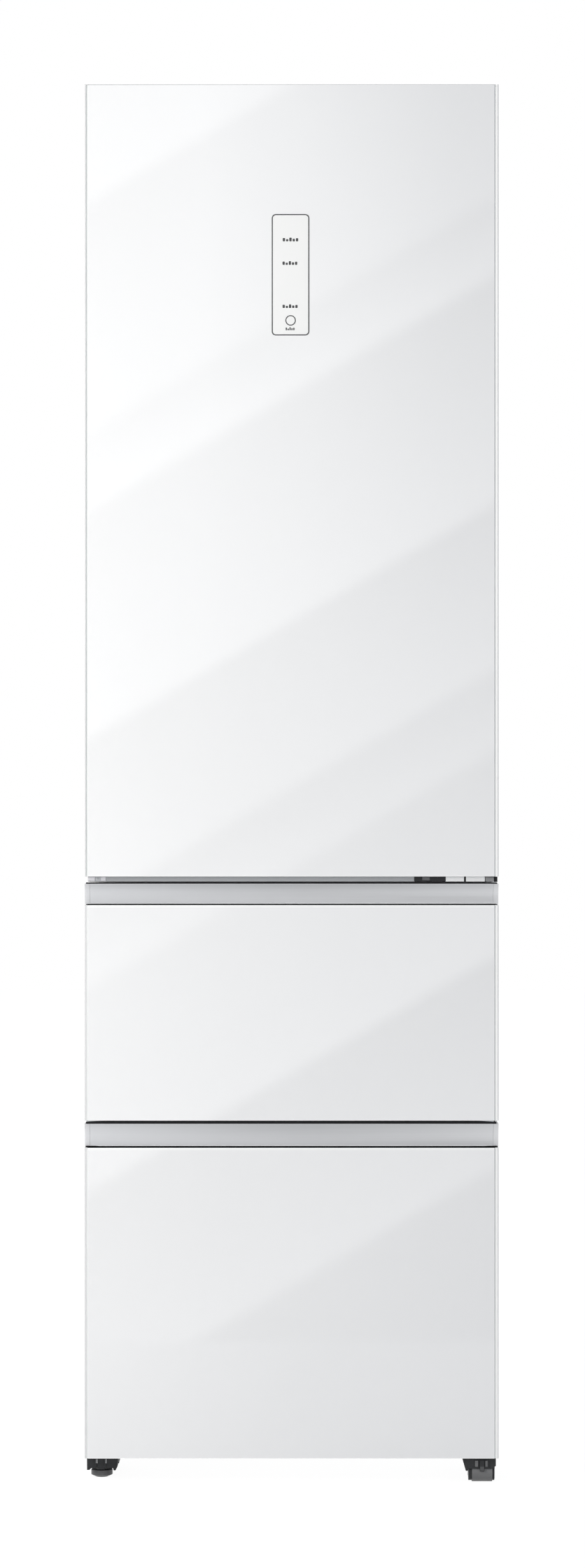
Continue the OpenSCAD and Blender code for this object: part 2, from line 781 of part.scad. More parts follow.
evap_cover_t = 3;
evap_hw = freezer_hw - 55.5;
evap_z0 = step_z + 95;
evap_h = 210;
evap_z1 = evap_z0 + evap_h;
evap_y0 = evap_cover_y + 14;
evap_y1 = freezer_back - 6;
evap_y = (evap_y0 + evap_y1) / 2;
evap_end_t = 3;
evap_fins = 14;
evap_fin_t = 1;
evap_fin_in = 14;
evap_fin_pitch = (2 * (evap_hw - evap_fin_in) - evap_fin_t) / (evap_fins - 1);
evap_tubes = 6;
evap_tube_r = 4;
evap_tube_z = 18;
evap_tube_pitch = 35;
heater_r = 5;
heater_z = evap_z0 - 16;
heater_clip = [evap_z0 - 30, evap_z0 - 5];
module evaporator() color("silver") {
    for (k = [0:evap_fins - 1]) {
        x = -evap_hw + evap_fin_in + k * evap_fin_pitch;
        block([x, evap_y0, evap_z0], [x + evap_fin_t, evap_y1, evap_z1]);
    }
    for (k = [0:evap_tubes - 1])
        rod_x(-evap_hw, evap_hw, evap_y, evap_z0 + evap_tube_z + k * evap_tube_pitch, evap_tube_r);
    pair_x([evap_hw, evap_y0, evap_z0], [evap_hw + evap_end_t, freezer_back, evap_z1]);
    rod_x(-evap_hw, evap_hw, evap_y, heater_z, heater_r);
    pair_x([evap_hw - evap_end_t, evap_y0, heater_clip[0]], [evap_hw, freezer_back, heater_clip[1]]);
}

efan_z = freezer_z1 - 90;
efan_r = 50;
efan_hub_r = 14;
efan_w = 12;
efan_y = evap_cover_y + 30;
shroud_d = 16;
shroud_wall = 4;
vent_x = [-170, -120, 120, 170];
vent_hw = 18;
vent_h = 8;
vent_drop = 60;
intake_count = 8;
intake_w = 26;
intake_pitch = 42;
intake_x0 = -160;
intake_up = 14;
spoke_hw = 2;
spoke_l = 2 * (efan_r + 6);
module evaporator_cover() color("whitesmoke") {
    cover_back = evap_cover_y + evap_cover_t;
    difference() {
        union() {
            block([-freezer_hw, evap_cover_y, step_z], [freezer_hw, cover_back, freezer_z1]);
            rod_y(0, efan_z, evap_cover_y, evap_cover_y + shroud_d, efan_r + fan_gap + shroud_wall);
        }
        rod_y(0, efan_z, evap_cover_y - cut, evap_cover_y + shroud_d + cut, efan_r + fan_gap);
        for (x = vent_x)
            block([x - vent_hw, evap_cover_y - cut, freezer_z1 - vent_drop],
                  [x + vent_hw, cover_back + cut, freezer_z1 - vent_drop + vent_h]);
        for (k = [0:intake_count - 1])
            block([intake_x0 + k * intake_pitch, evap_cover_y - cut, step_z + intake_up],
                  [intake_x0 + intake_w + k * intake_pitch, cover_back + cut, step_z + intake_up + vent_h]);
    }
    for (a = [45, 135]) translate([0, 0, efan_z]) rotate([0, a, 0])
        block([-spoke_l / 2, evap_cover_y, -spoke_hw], [spoke_l / 2, cover_back, spoke_hw]);
    rod_y(0, efan_z, evap_cover_y + evap_cover_t - cut, efan_y + efan_w / 2 + 2 * cut, fan_shaft_r);
}

module evaporator_fan() color("dimgray") {
    translate([0, efan_y, efan_z]) rotate([90, 0, 0]) fan_wheel(efan_r, efan_hub_r, efan_w);
}

// Fridge inside

tower_wall = 2;
tower_drop = 30;
outlet_x = 52;
outlet_hw = 22;
outlet_h = 7;
outlet_up = 90;
light_hw = 6;
light_t = 3;
light_up = 330;
light_drop = 40;
module air_tower() color("whitesmoke") {
    y0 = fridge_back - tower_d;
    z1 = fridge_z1 - tower_drop;
    difference() {
        block([-tower_hw, y0, fridge_z0], [tower_hw, fridge_back, z1]);
        block([-tower_hw + tower_wall, y0 + tower_wall, fridge_z0 - cut],
              [tower_hw - tower_wall, fridge_back + cut, z1 - tower_wall]);
        for (z = shelf_z, x = [-outlet_x, outlet_x])
            block([x - outlet_hw, y0 - cut, z + outlet_up],
                  [x + outlet_hw, y0 + tower_wall + cut, z + outlet_up + outlet_h]);
    }
    block([-light_hw, y0 - light_t, fridge_z0 + light_up], [light_hw, y0, z1 - light_drop]);
}

shelf_side = 3.5;
shelf_rear_gap = 3;
shelf_hw = fridge_hw - shelf_side;
shelf_back = fridge_back - tower_d - shelf_rear_gap;
nose_t = 6;
nose_h = 13;
nose_drop = 5;
nose_side = 0.5;
nose_hw = fridge_hw - ledge_w - nose_side;
lip_t = 6;
lip_h = 10;
module glass_shelves() color("lightcyan") {
    for (z = concat([cover_z], shelf_z)) {
        block([-shelf_hw, shelf_front + nose_t, z], [shelf_hw, shelf_back, z + shelf_t]);
        block([-nose_hw, shelf_front, z - nose_drop],
              [nose_hw, shelf_front + nose_t, z - nose_drop + nose_h]);
        block([-shelf_hw, shelf_back - lip_t, z + shelf_t], [shelf_hw, shelf_back, z + shelf_t + lip_h]);
    }
}

crisper_side = 3;
crisper_hw = fridge_hw - ledge_w - crisper_side;
crisper_back = shelf_back - lip_t - 2;
pull_d = 12;
pull_h = 9;
pull_in = 20;
crisper_top_gap = 10;
chill_top_gap = 6;
runner_h = 10;
runner_w = 6;
runner_setback = 20;
module pull_box(z0, z1) {
    difference() {
        union() {
            open_box([-crisper_hw, crisper_front, z0], [crisper_hw, crisper_back, z1], crisper_wall, 2);
            block([-crisper_hw, crisper_front - pull_d, z1 - pull_h], [crisper_hw, crisper_front, z1]);
        }
        block([-crisper_hw + pull_in, crisper_front - pull_d + crisper_wall, z1 - pull_h - cut],
              [crisper_hw - pull_in, crisper_front, z1 - crisper_wall]);
    }
}

module crisper() color("lightblue") {
    pull_box(fridge_z0 + rest_gap, cover_z - ledge_t - crisper_top_gap);
}

module chill_drawer() color("lightblue") {
    z = cover_z + shelf_t + rest_gap;
    pull_box(z + runner_h, shelf_z[0] - ledge_t - chill_top_gap);
    pair_x([crisper_hw - runner_w, crisper_front + runner_setback, z],
           [crisper_hw, crisper_back, z + runner_h + cut]);
}

// Rails of the two freezer drawers

rail_w = 10;
rail_in = freezer_hw - rail_w;
mid_rail_z = mid_base + 80;
low_rail_z = freezer_z0 + 120;
mid_rail_y1 = inner_y + mid_basket_d;
low_rail_y1 = inner_y + low_basket_d;
rail_y0 = face_y + 12;
slider_in = 1;
slider_front = 2;
slider_rear = 4;
carrier_t = 3;
carrier_hh = 4;
carrier_rear = 12;
inner_rear = 8;
bracket_t = 3;
bracket_hh = 30;
bracket_lap = 2;
slider_x1 = freezer_hw - rail_wall - rail_gap;
inner_x1 = slider_x1 - rail_wall - rail_gap;
inner_x0 = basket_hw + carrier_t;

// A channel whose web is at x1 and whose lips point to the middle
module channel_out(x0, x1, h, z, y0, y1) {
    difference() {
        block([x0, y0, z - h / 2], [x1, y1, z + h / 2]);
        block([x0 - cut, y0 - cut, z - h / 2 + rail_wall],
              [x1 - rail_wall, y1 + cut, z + h / 2 - rail_wall]);
    }
}

// A channel whose web is at x0 and whose lips point to the wall
module channel_in(x0, x1, h, z, y0, y1) {
    difference() {
        block([x0, y0, z - h / 2], [x1, y1, z + h / 2]);
        block([x0 + rail_wall, y0 - cut, z - h / 2 + rail_wall],
              [x1 + cut, y1 + cut, z + h / 2 - rail_wall]);
    }
}

module both_sides() {
    children();
    mirror([1, 0, 0]) children();
}

slider_h = rail_h - 2 * (rail_wall + rail_gap);
inner_h = slider_h - 2 * (rail_wall + rail_gap);
module outer_rails() color("silver") {
    both_sides() {
        channel_out(rail_in, freezer_hw, rail_h, mid_rail_z, rail_y0, mid_rail_y1);
        channel_out(rail_in, freezer_hw, rail_h, low_rail_z, rail_y0, low_rail_y1);
    }
}

module slider(z, y1) {
    channel_out(rail_in + slider_in, slider_x1, slider_h, z, rail_y0 + slider_front, y1 - slider_rear);
}

module mid_sliders() color("gainsboro") {
    both_sides() slider(mid_rail_z, mid_rail_y1);
}

module low_sliders() color("gainsboro") {
    both_sides() slider(low_rail_z, low_rail_y1);
}

// The inner member, its bracket on the front and the strip that carries the basket
module drawer_rails(z, y1) {
    both_sides() {
        channel_in(inner_x0, inner_x1, inner_h, z, inner_y + bracket_t, y1 - inner_rear);
        block([basket_hw, inner_y + bracket_t, z - carrier_hh],
              [inner_x0 + rail_wall, y1 - carrier_rear, z + carrier_hh]);
        block([inner_x0 - bracket_lap, inner_y, z - bracket_hh],
              [inner_x1 - bracket_lap, inner_y + bracket_t, z + bracket_hh]);
    }
}

module mid_rails() color("silver") {
    drawer_rails(mid_rail_z, mid_rail_y1);
}

module low_rails() color("silver") {
    drawer_rails(low_rail_z, low_rail_y1);
}

// Feet and rollers

bracket_top = fronts_base - 0.5;
foot_y = front_y + foot_depth;
roller_y = front_y + roller_depth;
bracket_z = 17;
bracket_wall = 5;
bracket_roof = 4;
fang_h = 3;
fang_z = bracket_z - fang_h;
foot_bracket_hw = 23;
foot_bracket_x = foot_x + 2.4;
// Front outline of the left bracket: a block with a slanted side and a fang at each end
module foot_outline() {
    w = foot_bracket_hw;
    polygon([[-w, bracket_top], [w, bracket_top], [w - 1.7, bracket_z + 1.4], [w - 4.7, fang_z - 1.4],
             [w - 7.2, fang_z - 1.4], [w - 8.4, bracket_z - 1], [-w + 6.3, bracket_z - 1],
             [-w + 3.6, fang_z - 0.6], [-w + 0.2, fang_z - 0.6]]);
}

rib_w = 3;
foot_front = foot_y - 28;
foot_block_d = 52;
foot_arm = [foot_y + 8, foot_y + 80];
foot_rib_x = [-12, 1.7];
foot_rib_d = 2;
module foot_bracket() color("darkslategray") {
    arm_hw = foot_bracket_hw - 1;
    difference() {
        union() {
            translate([foot_bracket_x, foot_front + foot_block_d, 0]) rotate([90, 0, 0])
                linear_extrude(foot_block_d) foot_outline();
            block([foot_bracket_x - arm_hw, foot_arm[0], bracket_z],
                  [foot_bracket_x + arm_hw, foot_arm[1], cabinet_base]);
            for (x = foot_rib_x)
                block([foot_bracket_x + x, foot_front - foot_rib_d, bracket_z + 1],
                      [foot_bracket_x + x + rib_w, foot_front + cut, bracket_top - bracket_roof]);
        }
        post(foot_x, foot_y, fang_z - cut, cabinet_base + cut, stem_r + run);
        block([foot_bracket_x - arm_hw + bracket_wall, foot_y + 20, foot_h],
              [foot_bracket_x + arm_hw - bracket_wall, foot_arm[1] - bracket_wall - cut,
               cabinet_base - bracket_roof]);
    }
}

nut_r = 9;
nut_h = 3;
sole_r = 8.525;
module levelling_foot() color("dimgray") {
    translate([foot_x, foot_y, 0]) {
        intersection() {
            cylinder(h = foot_h, r1 = sole_r, r2 = 2 * foot_r, $fn = round_fn);
            cylinder(h = foot_h, r = foot_r, $fn = round_fn);
        }
        cylinder(h = bracket_top - 1, r = stem_r, $fn = round_fn);
        translate([0, 0, foot_h]) cylinder(h = nut_h, r = nut_r, $fn = 6);
    }
}

cheek_gap = 0.4;
cheek_l = 4.3;
cheek_r = 2.6;
cheek_z0 = 6;
cheek_front = 13;
cheek_rear = 20;
cheek_eye_r = roller_r - 1.7;
fork_x0 = roller_x - roller_w / 2 - cheek_gap;
fork_x1 = roller_x + roller_w / 2 + cheek_gap;
module fork_cheek(x0, x1) {
    block([x0, roller_y - cheek_front, cheek_z0], [x1, roller_y + cheek_rear, bracket_top]);
    rod_x(x0, x1, roller_y, roller_r, cheek_eye_r);
}

fork_left = roller_x - 29;
fork_right = roller_x + 19.5;
fork_up = 3.5;
fork_tongue_hw = 3.2;
fork_tongue_x = roller_x - 0.4;
// Front outline of the right bracket: slanted left side that ends in a fang
module fork_outline() {
    z = bracket_z + fork_up;
    polygon([[fork_left, bracket_top], [fork_left + 5.2, z - fang_h], [fork_left + 7.7, z - fang_h],
             [fork_left + 9.7, z], [fork_x1 + cheek_r, z], [fork_x1 + cheek_r, z + fang_h],
             [fork_right, z + fang_h + 1], [fork_right, bracket_top]]);
}

fork_block = [roller_y - 17, roller_y + 40];
fork_arm_x = [roller_x - 20, roller_x + 18];
fork_arm_y1 = roller_y + 130;
fork_arm_inset = 8;
fork_rib_x = [-11, 4];
fork_rib_d = 2;
wheel_gap = 1.5;
axle_end = 0.2;
module roller_fork() color("darkslategray") {
    difference() {
        union() {
            translate([0, fork_block[1], 0]) rotate([90, 0, 0])
                linear_extrude(fork_block[1] - fork_block[0]) fork_outline();
            fork_cheek(fork_x0 - cheek_l, fork_x0);
            fork_cheek(fork_x1, fork_x1 + cheek_r);
            block([fork_arm_x[0], skin_y, bracket_z + 1], [fork_arm_x[1], fork_arm_y1, cabinet_base]);
        }
        rod_x(fork_x0, fork_x1, roller_y, roller_r, roller_r + wheel_gap);
        block([fork_arm_x[0] + bracket_wall, skin_y + fork_arm_inset, bracket_z - cut],
              [fork_arm_x[1] - bracket_wall, fork_arm_y1 - fork_arm_inset, cabinet_base - bracket_roof]);
    }
    rod_x(fork_x0 - cheek_l - axle_end, fork_x1 + cheek_r + axle_end, roller_y, roller_r, axle_r);
    for (x = fork_rib_x)
        block([roller_x + x, fork_block[0] - fork_rib_d, bracket_z + fork_up + 2],
              [roller_x + x + rib_w + fork_rib_d, fork_block[0] + cut, bracket_top - 3]);
    block([fork_tongue_x - fork_tongue_hw, fork_block[0] - fork_rib_d, bracket_z],
          [fork_tongue_x + fork_tongue_hw, fork_block[0] + cut, bracket_top - 3]);
}

tyre_wall = 3;
dish_d = 2;
hub_r = axle_r + 4;
// A roller with a shallow dish in each face; a bore of 0 leaves it solid
module wheel(x0, x1, y, bore) {
    difference() {
        rod_x(x0, x1, y, roller_r, roller_r);
        if (bore > 0) rod_x(x0 - cut, x1 + cut, y, roller_r, bore);
        for (x = [x0 - cut, x1 - dish_d]) difference() {
            rod_x(x, x + dish_d + cut, y, roller_r, roller_r - tyre_wall);
            rod_x(x - cut, x + dish_d + 2 * cut, y, roller_r, hub_r);
        }
    }
}

module front_roller() color("gray") {
    wheel(roller_x - roller_w / 2, roller_x + roller_w / 2, roller_y, axle_r + run);
}

module rear_rollers() color("gray") {
    for (side = [-1, 1])
        wheel(side * rear_x - rear_w / 2, side * rear_x + rear_w / 2, rear_y, 0);
    rear_axle_hw = rear_x + rear_w / 2 + tab_gap + tab_t + cut;
    rod_x(-rear_axle_hw, rear_axle_hw, rear_y, roller_r, rear_axle_r);
}

screw_r = 4;
screw_h = 2.4;
small_screw_r = 3.2;
small_screw_h = 2;
plate_screw_x = [plate_x0 + 10, plate_x0 + 40];
plate_screw_y = [plate_y0 + 15, plate_y1 - 12];
cover_screw_x = room_x - 8;
cover_screw_z = [cabinet_base + 16, machine_z1 - 10];
evap_screw_x = freezer_hw - 14;
evap_screw_z = [step_z + 40, freezer_z1 - 20];
leg_screw_x = [leg_x0 + 6, leg_x0 + 22];
module screws() color("silver") {
    for (x = plate_screw_x, y = plate_screw_y)
        post(x, y, cab_top + hinge_t, cab_top + hinge_t + screw_h, screw_r);
    for (x = [-cover_screw_x, 0, cover_screw_x], z = cover_screw_z)
        rod_y(x, z, shell_y, shell_y + screw_h, screw_r);
    for (x = [-evap_screw_x, evap_screw_x], z = evap_screw_z)
        rod_y(x, z, evap_cover_y - screw_h, evap_cover_y, screw_r);
    for (x = leg_screw_x)
        rod_y(x, (mid_top + door_base) / 2, leg_y0 - small_screw_h, leg_y0, small_screw_r);
}

// Door

pocket_side = 1.5;
pocket_front = 9;
pocket_roof = 3;
module hinge_pocket() {
    block([hinge_x - arm_r - pocket_side, hinge_y - arm_r - pocket_front, pocket_floor],
          [half_w + cut, inner_y + cut, height - pocket_roof]);
}

module door_glass() color("white") {
    block([-core_hw, glass_y, door_glass_z0], [core_hw, core_y, height]);
}

trim_setback = 0.5;
module door_trims() color("gainsboro") {
    difference() {
        pair_x([core_hw, glass_y + trim_setback, door_glass_z0], [half_w, inner_y, height]);
        hinge_pocket();
    }
}

module panel_pocket(grow) {
    block([panel_x - panel_w / 2 - grow, core_y - cut, panel_z - grow],
          [panel_x + panel_w / 2 + grow, core_y + module_t, panel_z + panel_h + grow]);
}

module door_core() color("whitesmoke") {
    difference() {
        block([-core_hw, core_y, bottom_cap_z1], [core_hw, inner_y - door_panel_t, core_top]);
        panel_pocket(module_gap);
    }
}

module_gap = 1;
dike_margin = 18;
dike_z0 = fridge_z0 + dike_margin;
dike_z1 = fridge_z1 - dike_margin;
peg_y = [inner_y + 26, inner_y + 56];
peg_up = 50;
module door_liner() color("white") {
    block([-core_hw, inner_y - door_panel_t, bottom_cap_z1], [core_hw, inner_y, core_top]);
    pair_x([dike_x, inner_y, dike_z0], [dike_x + dike_t, inner_y + dike_d, dike_z1]);
    for (z = bin_z)
        pair_x([dike_x - peg_t, peg_y[0], z + peg_up], [dike_x, peg_y[1], z + peg_up + peg_t]);
    block([-dike_x, inner_y, dike_z0], [dike_x, inner_y + field_t, dike_z1]);
}

// A seal: a wide foot on the front and a narrower magnet strip that nears the cabinet
seal_foot = seal_t / 3;
seal_step = 2;
module seal(z0, z1) {
    frame_ring(seal_x, z0, z1, seal_w, inner_y, inner_y + seal_foot);
    frame_ring(seal_x - seal_step, z0 + seal_step, z1 - seal_step, seal_w - 2 * seal_step,
               inner_y + seal_foot, face_y - rest_gap);
}

module door_gasket() color("lightgray") {
    seal(door_base + seal_edge, cab_top - seal_edge);
}

module door_top_cap() color("white") {
    difference() {
        block([-core_hw, core_y, core_top], [core_hw, inner_y, height]);
        hinge_pocket();
        post(hinge_x, hinge_y, cab_top - pin_l - pin_end_gap, cab_top + cut, pin_r + run);
    }
}

closer_x0 = half_w - 121.2;
closer_x1 = half_w - 6.5;
closer_d = 12;
pin_end_gap = 2;
module door_bottom_cap() color("darkgray") {
    difference() {
        union() {
            block([-core_hw + cap_gap, front_y + lip_setback, door_base], [core_hw, inner_y, door_glass_z0]);
            block([-core_hw, core_y, door_glass_z0], [core_hw, inner_y, bottom_cap_z1]);
        }
        block([closer_x0, front_y, door_base - cut],
              [closer_x1, front_y + lip_setback + closer_d, door_glass_z0]);
        post(hinge_x, hinge_y, door_base - cut, mid_plate_z1 + mid_pin_l + pin_end_gap, pin_r + run);
    }
}

cap_gap = 0.5;
closer_up = 0.2;
closer_proud = 1.5;
// Left and right side of each block of the closer, from its left end, and how far it stands back
closer_blocks = [[0, 45, 0.5], [45.3, 71.7, 0], [71.7, 74.4, 2], [74.4, 101.6, 0], [102.1, 114.7, 1.5]];
module door_closer() color("ivory") {
    y = front_y + lip_setback;
    for (part = closer_blocks)
        block([closer_x0 + part[0], y - closer_proud + part[2], door_base + closer_up],
              [closer_x0 + part[1], y + closer_d, door_glass_z0]);
}

module control_panel() color("white") {
    front_plate(panel_x - panel_w / 2, panel_z, panel_w, panel_h, panel_r, front_y, film_t);
    block([panel_x - panel_w / 2, core_y, panel_z],
          [panel_x + panel_w / 2, core_y + module_t - module_gap, panel_z + panel_h]);
}

bin_gap = 0.4;
hook_lap = 3;
bin_back = inner_y + field_t + bin_gap;
bin_hw = dike_x - peg_t - rest_gap;
module door_bin(k) {
    z = bin_z[k];
    open_box([-bin_hw, bin_back, z], [bin_hw, inner_y + field_t + bin_d, z + bin_h[k]], bin_wall, 2);
    pair_x([bin_hw, peg_y[0] - hook_lap, z + peg_up + peg_t + rest_gap],
           [dike_x - rest_gap, peg_y[1] + hook_lap, z + peg_up + 2 * peg_t]);
}

module door_bin_low() color("lightblue") door_bin(0);
module door_bin_mid() color("lightblue") door_bin(1);
module door_bin_top() color("lightblue") door_bin(2);

// Drawer fronts

module drawer_glass(z0, z1) {
    block([-core_hw, glass_y, z0], [core_hw, core_y, z1]);
}

module drawer_trims(z0, z1) {
    pair_x([core_hw, glass_y + trim_setback, z0], [half_w, inner_y, z1]);
}

// The back of the grip channel, where the core begins above the glass
grip_back = front_y + grip_depth + grip_wall;
module drawer_core(z0, glass_z1, z1) {
    difference() {
        union() {
            block([-core_hw, core_y, z0], [core_hw, inner_y, z1]);
            pair_x([core_hw - cut, grip_back, glass_z1], [half_w, inner_y, z1]);
        }
        block([-core_hw - cut, front_y - cut, glass_z1 - pocket_h - grip_wall],
              [core_hw + cut, grip_back, z1 + cut]);
    }
}

module drawer_gasket(z0, z1) {
    seal(z0 + seal_edge, z1 - seal_edge);
}

// Points of a quarter circle in the Y-Z plane
function quarter(cy, cz, r, a0, a1) =
    [for (k = [0:arc_steps]) let (a = a0 + (a1 - a0) * k / arc_steps) [cy + r * cos(a), cz + r * sin(a)]];

lip_setback_y = 1.5;
lip_y = glass_y + lip_setback_y;
// Cross-section of the grip: a rounded channel above a finger pocket behind the glass edge
module grip_section(glass_z1, z1) {
    t = grip_wall;
    z_low = glass_z1 + grip_line;
    y_low = core_y + pocket_w;
    y_deep = front_y + grip_depth;
    y_arc = y_deep - grip_round;
    z_floor = glass_z1 - pocket_h;
    inner = concat(quarter(y_arc, z1 - t - grip_round, grip_round, 90, 0),
                   quarter(y_arc, z_low + grip_round, grip_round, 0, -90));
    polygon(concat([[lip_y, z1], [lip_y, z1 - t]], inner, [[y_low, z_low], [y_low, z_floor], [core_y, z_floor],
        [core_y, z_floor - t], [y_deep + t, z_floor - t], [y_deep + t, z1]]));
}

end_lap = 2;
module drawer_grip(glass_z1, z1) {
    end_x = core_hw - end_lap;
    translate([end_x, 0, 0]) rotate([90, 0, -90]) linear_extrude(2 * end_x)
        mirror([1, 0]) grip_section(glass_z1, z1);
    pair_x([end_x, lip_y, glass_z1 + grip_line / 2], [half_w, grip_back, z1]);
    pair_x([end_x, core_y, glass_z1 - pocket_h - grip_wall], [core_hw, grip_back, glass_z1 + grip_line]);
}

hand_hole = [68, 16, 7];
hand_hole_x = 90;
hand_hole_drop = 34;
module basket(z0, h, d) {
    difference() {
        open_box([-basket_hw, inner_y, z0], [basket_hw, inner_y + d, z0 + h], basket_wall, 2);
        for (x = [-hand_hole_x, hand_hole_x])
            front_plate(x - hand_hole[0] / 2, z0 + h - hand_hole_drop - hand_hole[1] / 2, hand_hole[0],
                        hand_hole[1], hand_hole[2], inner_y + d - basket_wall - cut, basket_wall + 2 * cut);
    }
}

module mid_glass() color("white") drawer_glass(mid_base, mid_glass_z1);
module mid_trims() color("gainsboro") drawer_trims(mid_base, mid_glass_z1);
module mid_core() color("whitesmoke") drawer_core(mid_base, mid_glass_z1, mid_top);
module mid_gasket() color("lightgray") drawer_gasket(mid_base, mid_top);
module mid_grip() color("silver") drawer_grip(mid_glass_z1, mid_top);
module mid_basket() color("aliceblue") basket(mid_basket_z, mid_basket_h, mid_basket_d);
module low_glass() color("white") drawer_glass(fronts_base, low_glass_z1);
module low_trims() color("gainsboro") drawer_trims(fronts_base, low_glass_z1);
module low_core() color("whitesmoke") drawer_core(fronts_base, low_glass_z1, low_top);
module low_gasket() color("lightgray") drawer_gasket(fronts_base, low_top);
module low_grip() color("silver") drawer_grip(low_glass_z1, low_top);
module low_basket() color("aliceblue") basket(low_basket_z, low_basket_h, low_basket_d);

cabinet_shell();
back_panel();
base_pan();
cabinet_foam();
fridge_liner();
freezer_liner();
front_rails();
top_hinge();
top_cover();
control_board();
middle_hinge();
compressor();
condenser();
fan_frame();
condenser_fan();
drip_tray();
machine_cover();
mains_inlet();
evaporator();
evaporator_cover();
evaporator_fan();
air_tower();
glass_shelves();
crisper();
chill_drawer();
outer_rails();
mid_sliders();
low_sliders();
foot_bracket();
levelling_foot();
roller_fork();
front_roller();
rear_rollers();
screws();
door_glass();
door_trims();
door_core();
door_liner();
door_gasket();
door_top_cap();
door_bottom_cap();
control_panel();
door_closer();
door_bin_low();
door_bin_mid();
door_bin_top();
mid_glass();
mid_trims();
mid_core();
mid_gasket();
mid_grip();
mid_basket();
mid_rails();
low_glass();
low_trims();
low_core();
low_gasket();
low_grip();
low_basket();
low_rails();
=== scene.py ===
"""Fridge freezer: the finished look of a tall, glass-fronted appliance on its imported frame.

A form is shaped in millimetres and becomes metres, in the frame's own axes, when it is settled:
X to the right, Y to the back, Z up.
"""
import json
import logging
import math
from dataclasses import dataclass, field, replace
from enum import Enum
from typing import Callable, Iterable, Sequence, Union

import bmesh
import bpy
from mathutils import Matrix, Vector

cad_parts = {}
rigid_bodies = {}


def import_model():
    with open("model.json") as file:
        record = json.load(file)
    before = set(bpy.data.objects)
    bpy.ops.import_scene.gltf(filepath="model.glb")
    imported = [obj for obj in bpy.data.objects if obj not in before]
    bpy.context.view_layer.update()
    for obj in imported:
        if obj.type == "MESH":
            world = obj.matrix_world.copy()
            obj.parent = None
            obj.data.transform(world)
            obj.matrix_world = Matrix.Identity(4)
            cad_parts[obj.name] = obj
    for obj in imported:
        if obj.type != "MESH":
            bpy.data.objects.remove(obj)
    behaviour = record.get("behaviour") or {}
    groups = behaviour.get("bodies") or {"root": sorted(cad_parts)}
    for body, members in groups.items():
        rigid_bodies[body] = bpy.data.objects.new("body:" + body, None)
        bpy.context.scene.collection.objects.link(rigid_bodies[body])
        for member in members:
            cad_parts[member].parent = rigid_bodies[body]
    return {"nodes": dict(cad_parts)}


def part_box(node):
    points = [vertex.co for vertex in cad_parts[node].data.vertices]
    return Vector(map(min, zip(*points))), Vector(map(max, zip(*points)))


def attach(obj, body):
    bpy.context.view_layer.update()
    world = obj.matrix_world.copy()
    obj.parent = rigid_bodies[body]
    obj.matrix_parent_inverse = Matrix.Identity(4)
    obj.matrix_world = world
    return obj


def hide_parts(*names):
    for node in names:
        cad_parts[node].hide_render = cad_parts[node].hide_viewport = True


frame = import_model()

log = logging.getLogger("fridge_freezer")
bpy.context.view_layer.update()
MM = 0.001
SHARP_ANGLE = 40.0

Corner = Sequence[float]
Flat = tuple[float, float]
Triple = tuple[float, float, float]
Strip = tuple[float, float, float, float]
Node = bpy.types.Node
Socket = bpy.types.NodeSocket
Value = Union[float, Sequence[float], Socket]
WHITE: Triple = (1.0, 1.0, 1.0)


class Axis(Enum):
    """A direction of the frame."""

    X = 0
    Y = 1
    Z = 2

    def vector(self) -> Vector:
        """The unit vector of this direction."""
        return Vector([float(k == self.value) for k in range(3)])

    def place(self, along: float, a: float, b: float) -> Vector:
        """Puts a flat point (a, b) at a distance along this direction."""
        return Vector({0: (along, a, b), 1: (a, along, b), 2: (a, b, along)}[self.value])


class Mouth(Enum):
    """The open side of a tub."""

    FRONT = (0.0, -1.0, 0.0)
    TOP = (0.0, 0.0, 1.0)


class Slot(Enum):
    """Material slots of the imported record."""

    WHITE_STEEL = "white_steel"
    BACK_STEEL = "back_steel"
    ZINC = "zinc_steel"
    FOAM = "foam"
    FRONT_FOAM = "front_foam"
    LINER = "liner_plastic"
    WHITE_PLASTIC = "white_plastic"
    GREY_PLASTIC = "grey_plastic"
    CLOSER = "closer_plastic"
    FRONT_GLASS = "front_glass"
    FILM = "touch_film"
    GRIP = "grip_aluminium"
    RUBBER = "seal_rubber"
    SHELF_GLASS = "shelf_glass"
    CLEAR = "clear_plastic"
    BOARD = "circuit_board"
    COMPRESSOR = "compressor_steel"
    BLACK_STEEL = "black_steel"
    BLACK_PLASTIC = "black_plastic"
    EVAPORATOR = "evaporator_aluminium"
    BRACKET = "dark_bracket"
    FOOT = "foot_plastic"
    ROLLER = "roller_plastic"


def span(node: str) -> tuple[Vector, Vector]:
    """Lowest and highest corner of a CAD node, in millimetres."""
    lo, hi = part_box(node)
    return lo / MM, hi / MM


# Materials


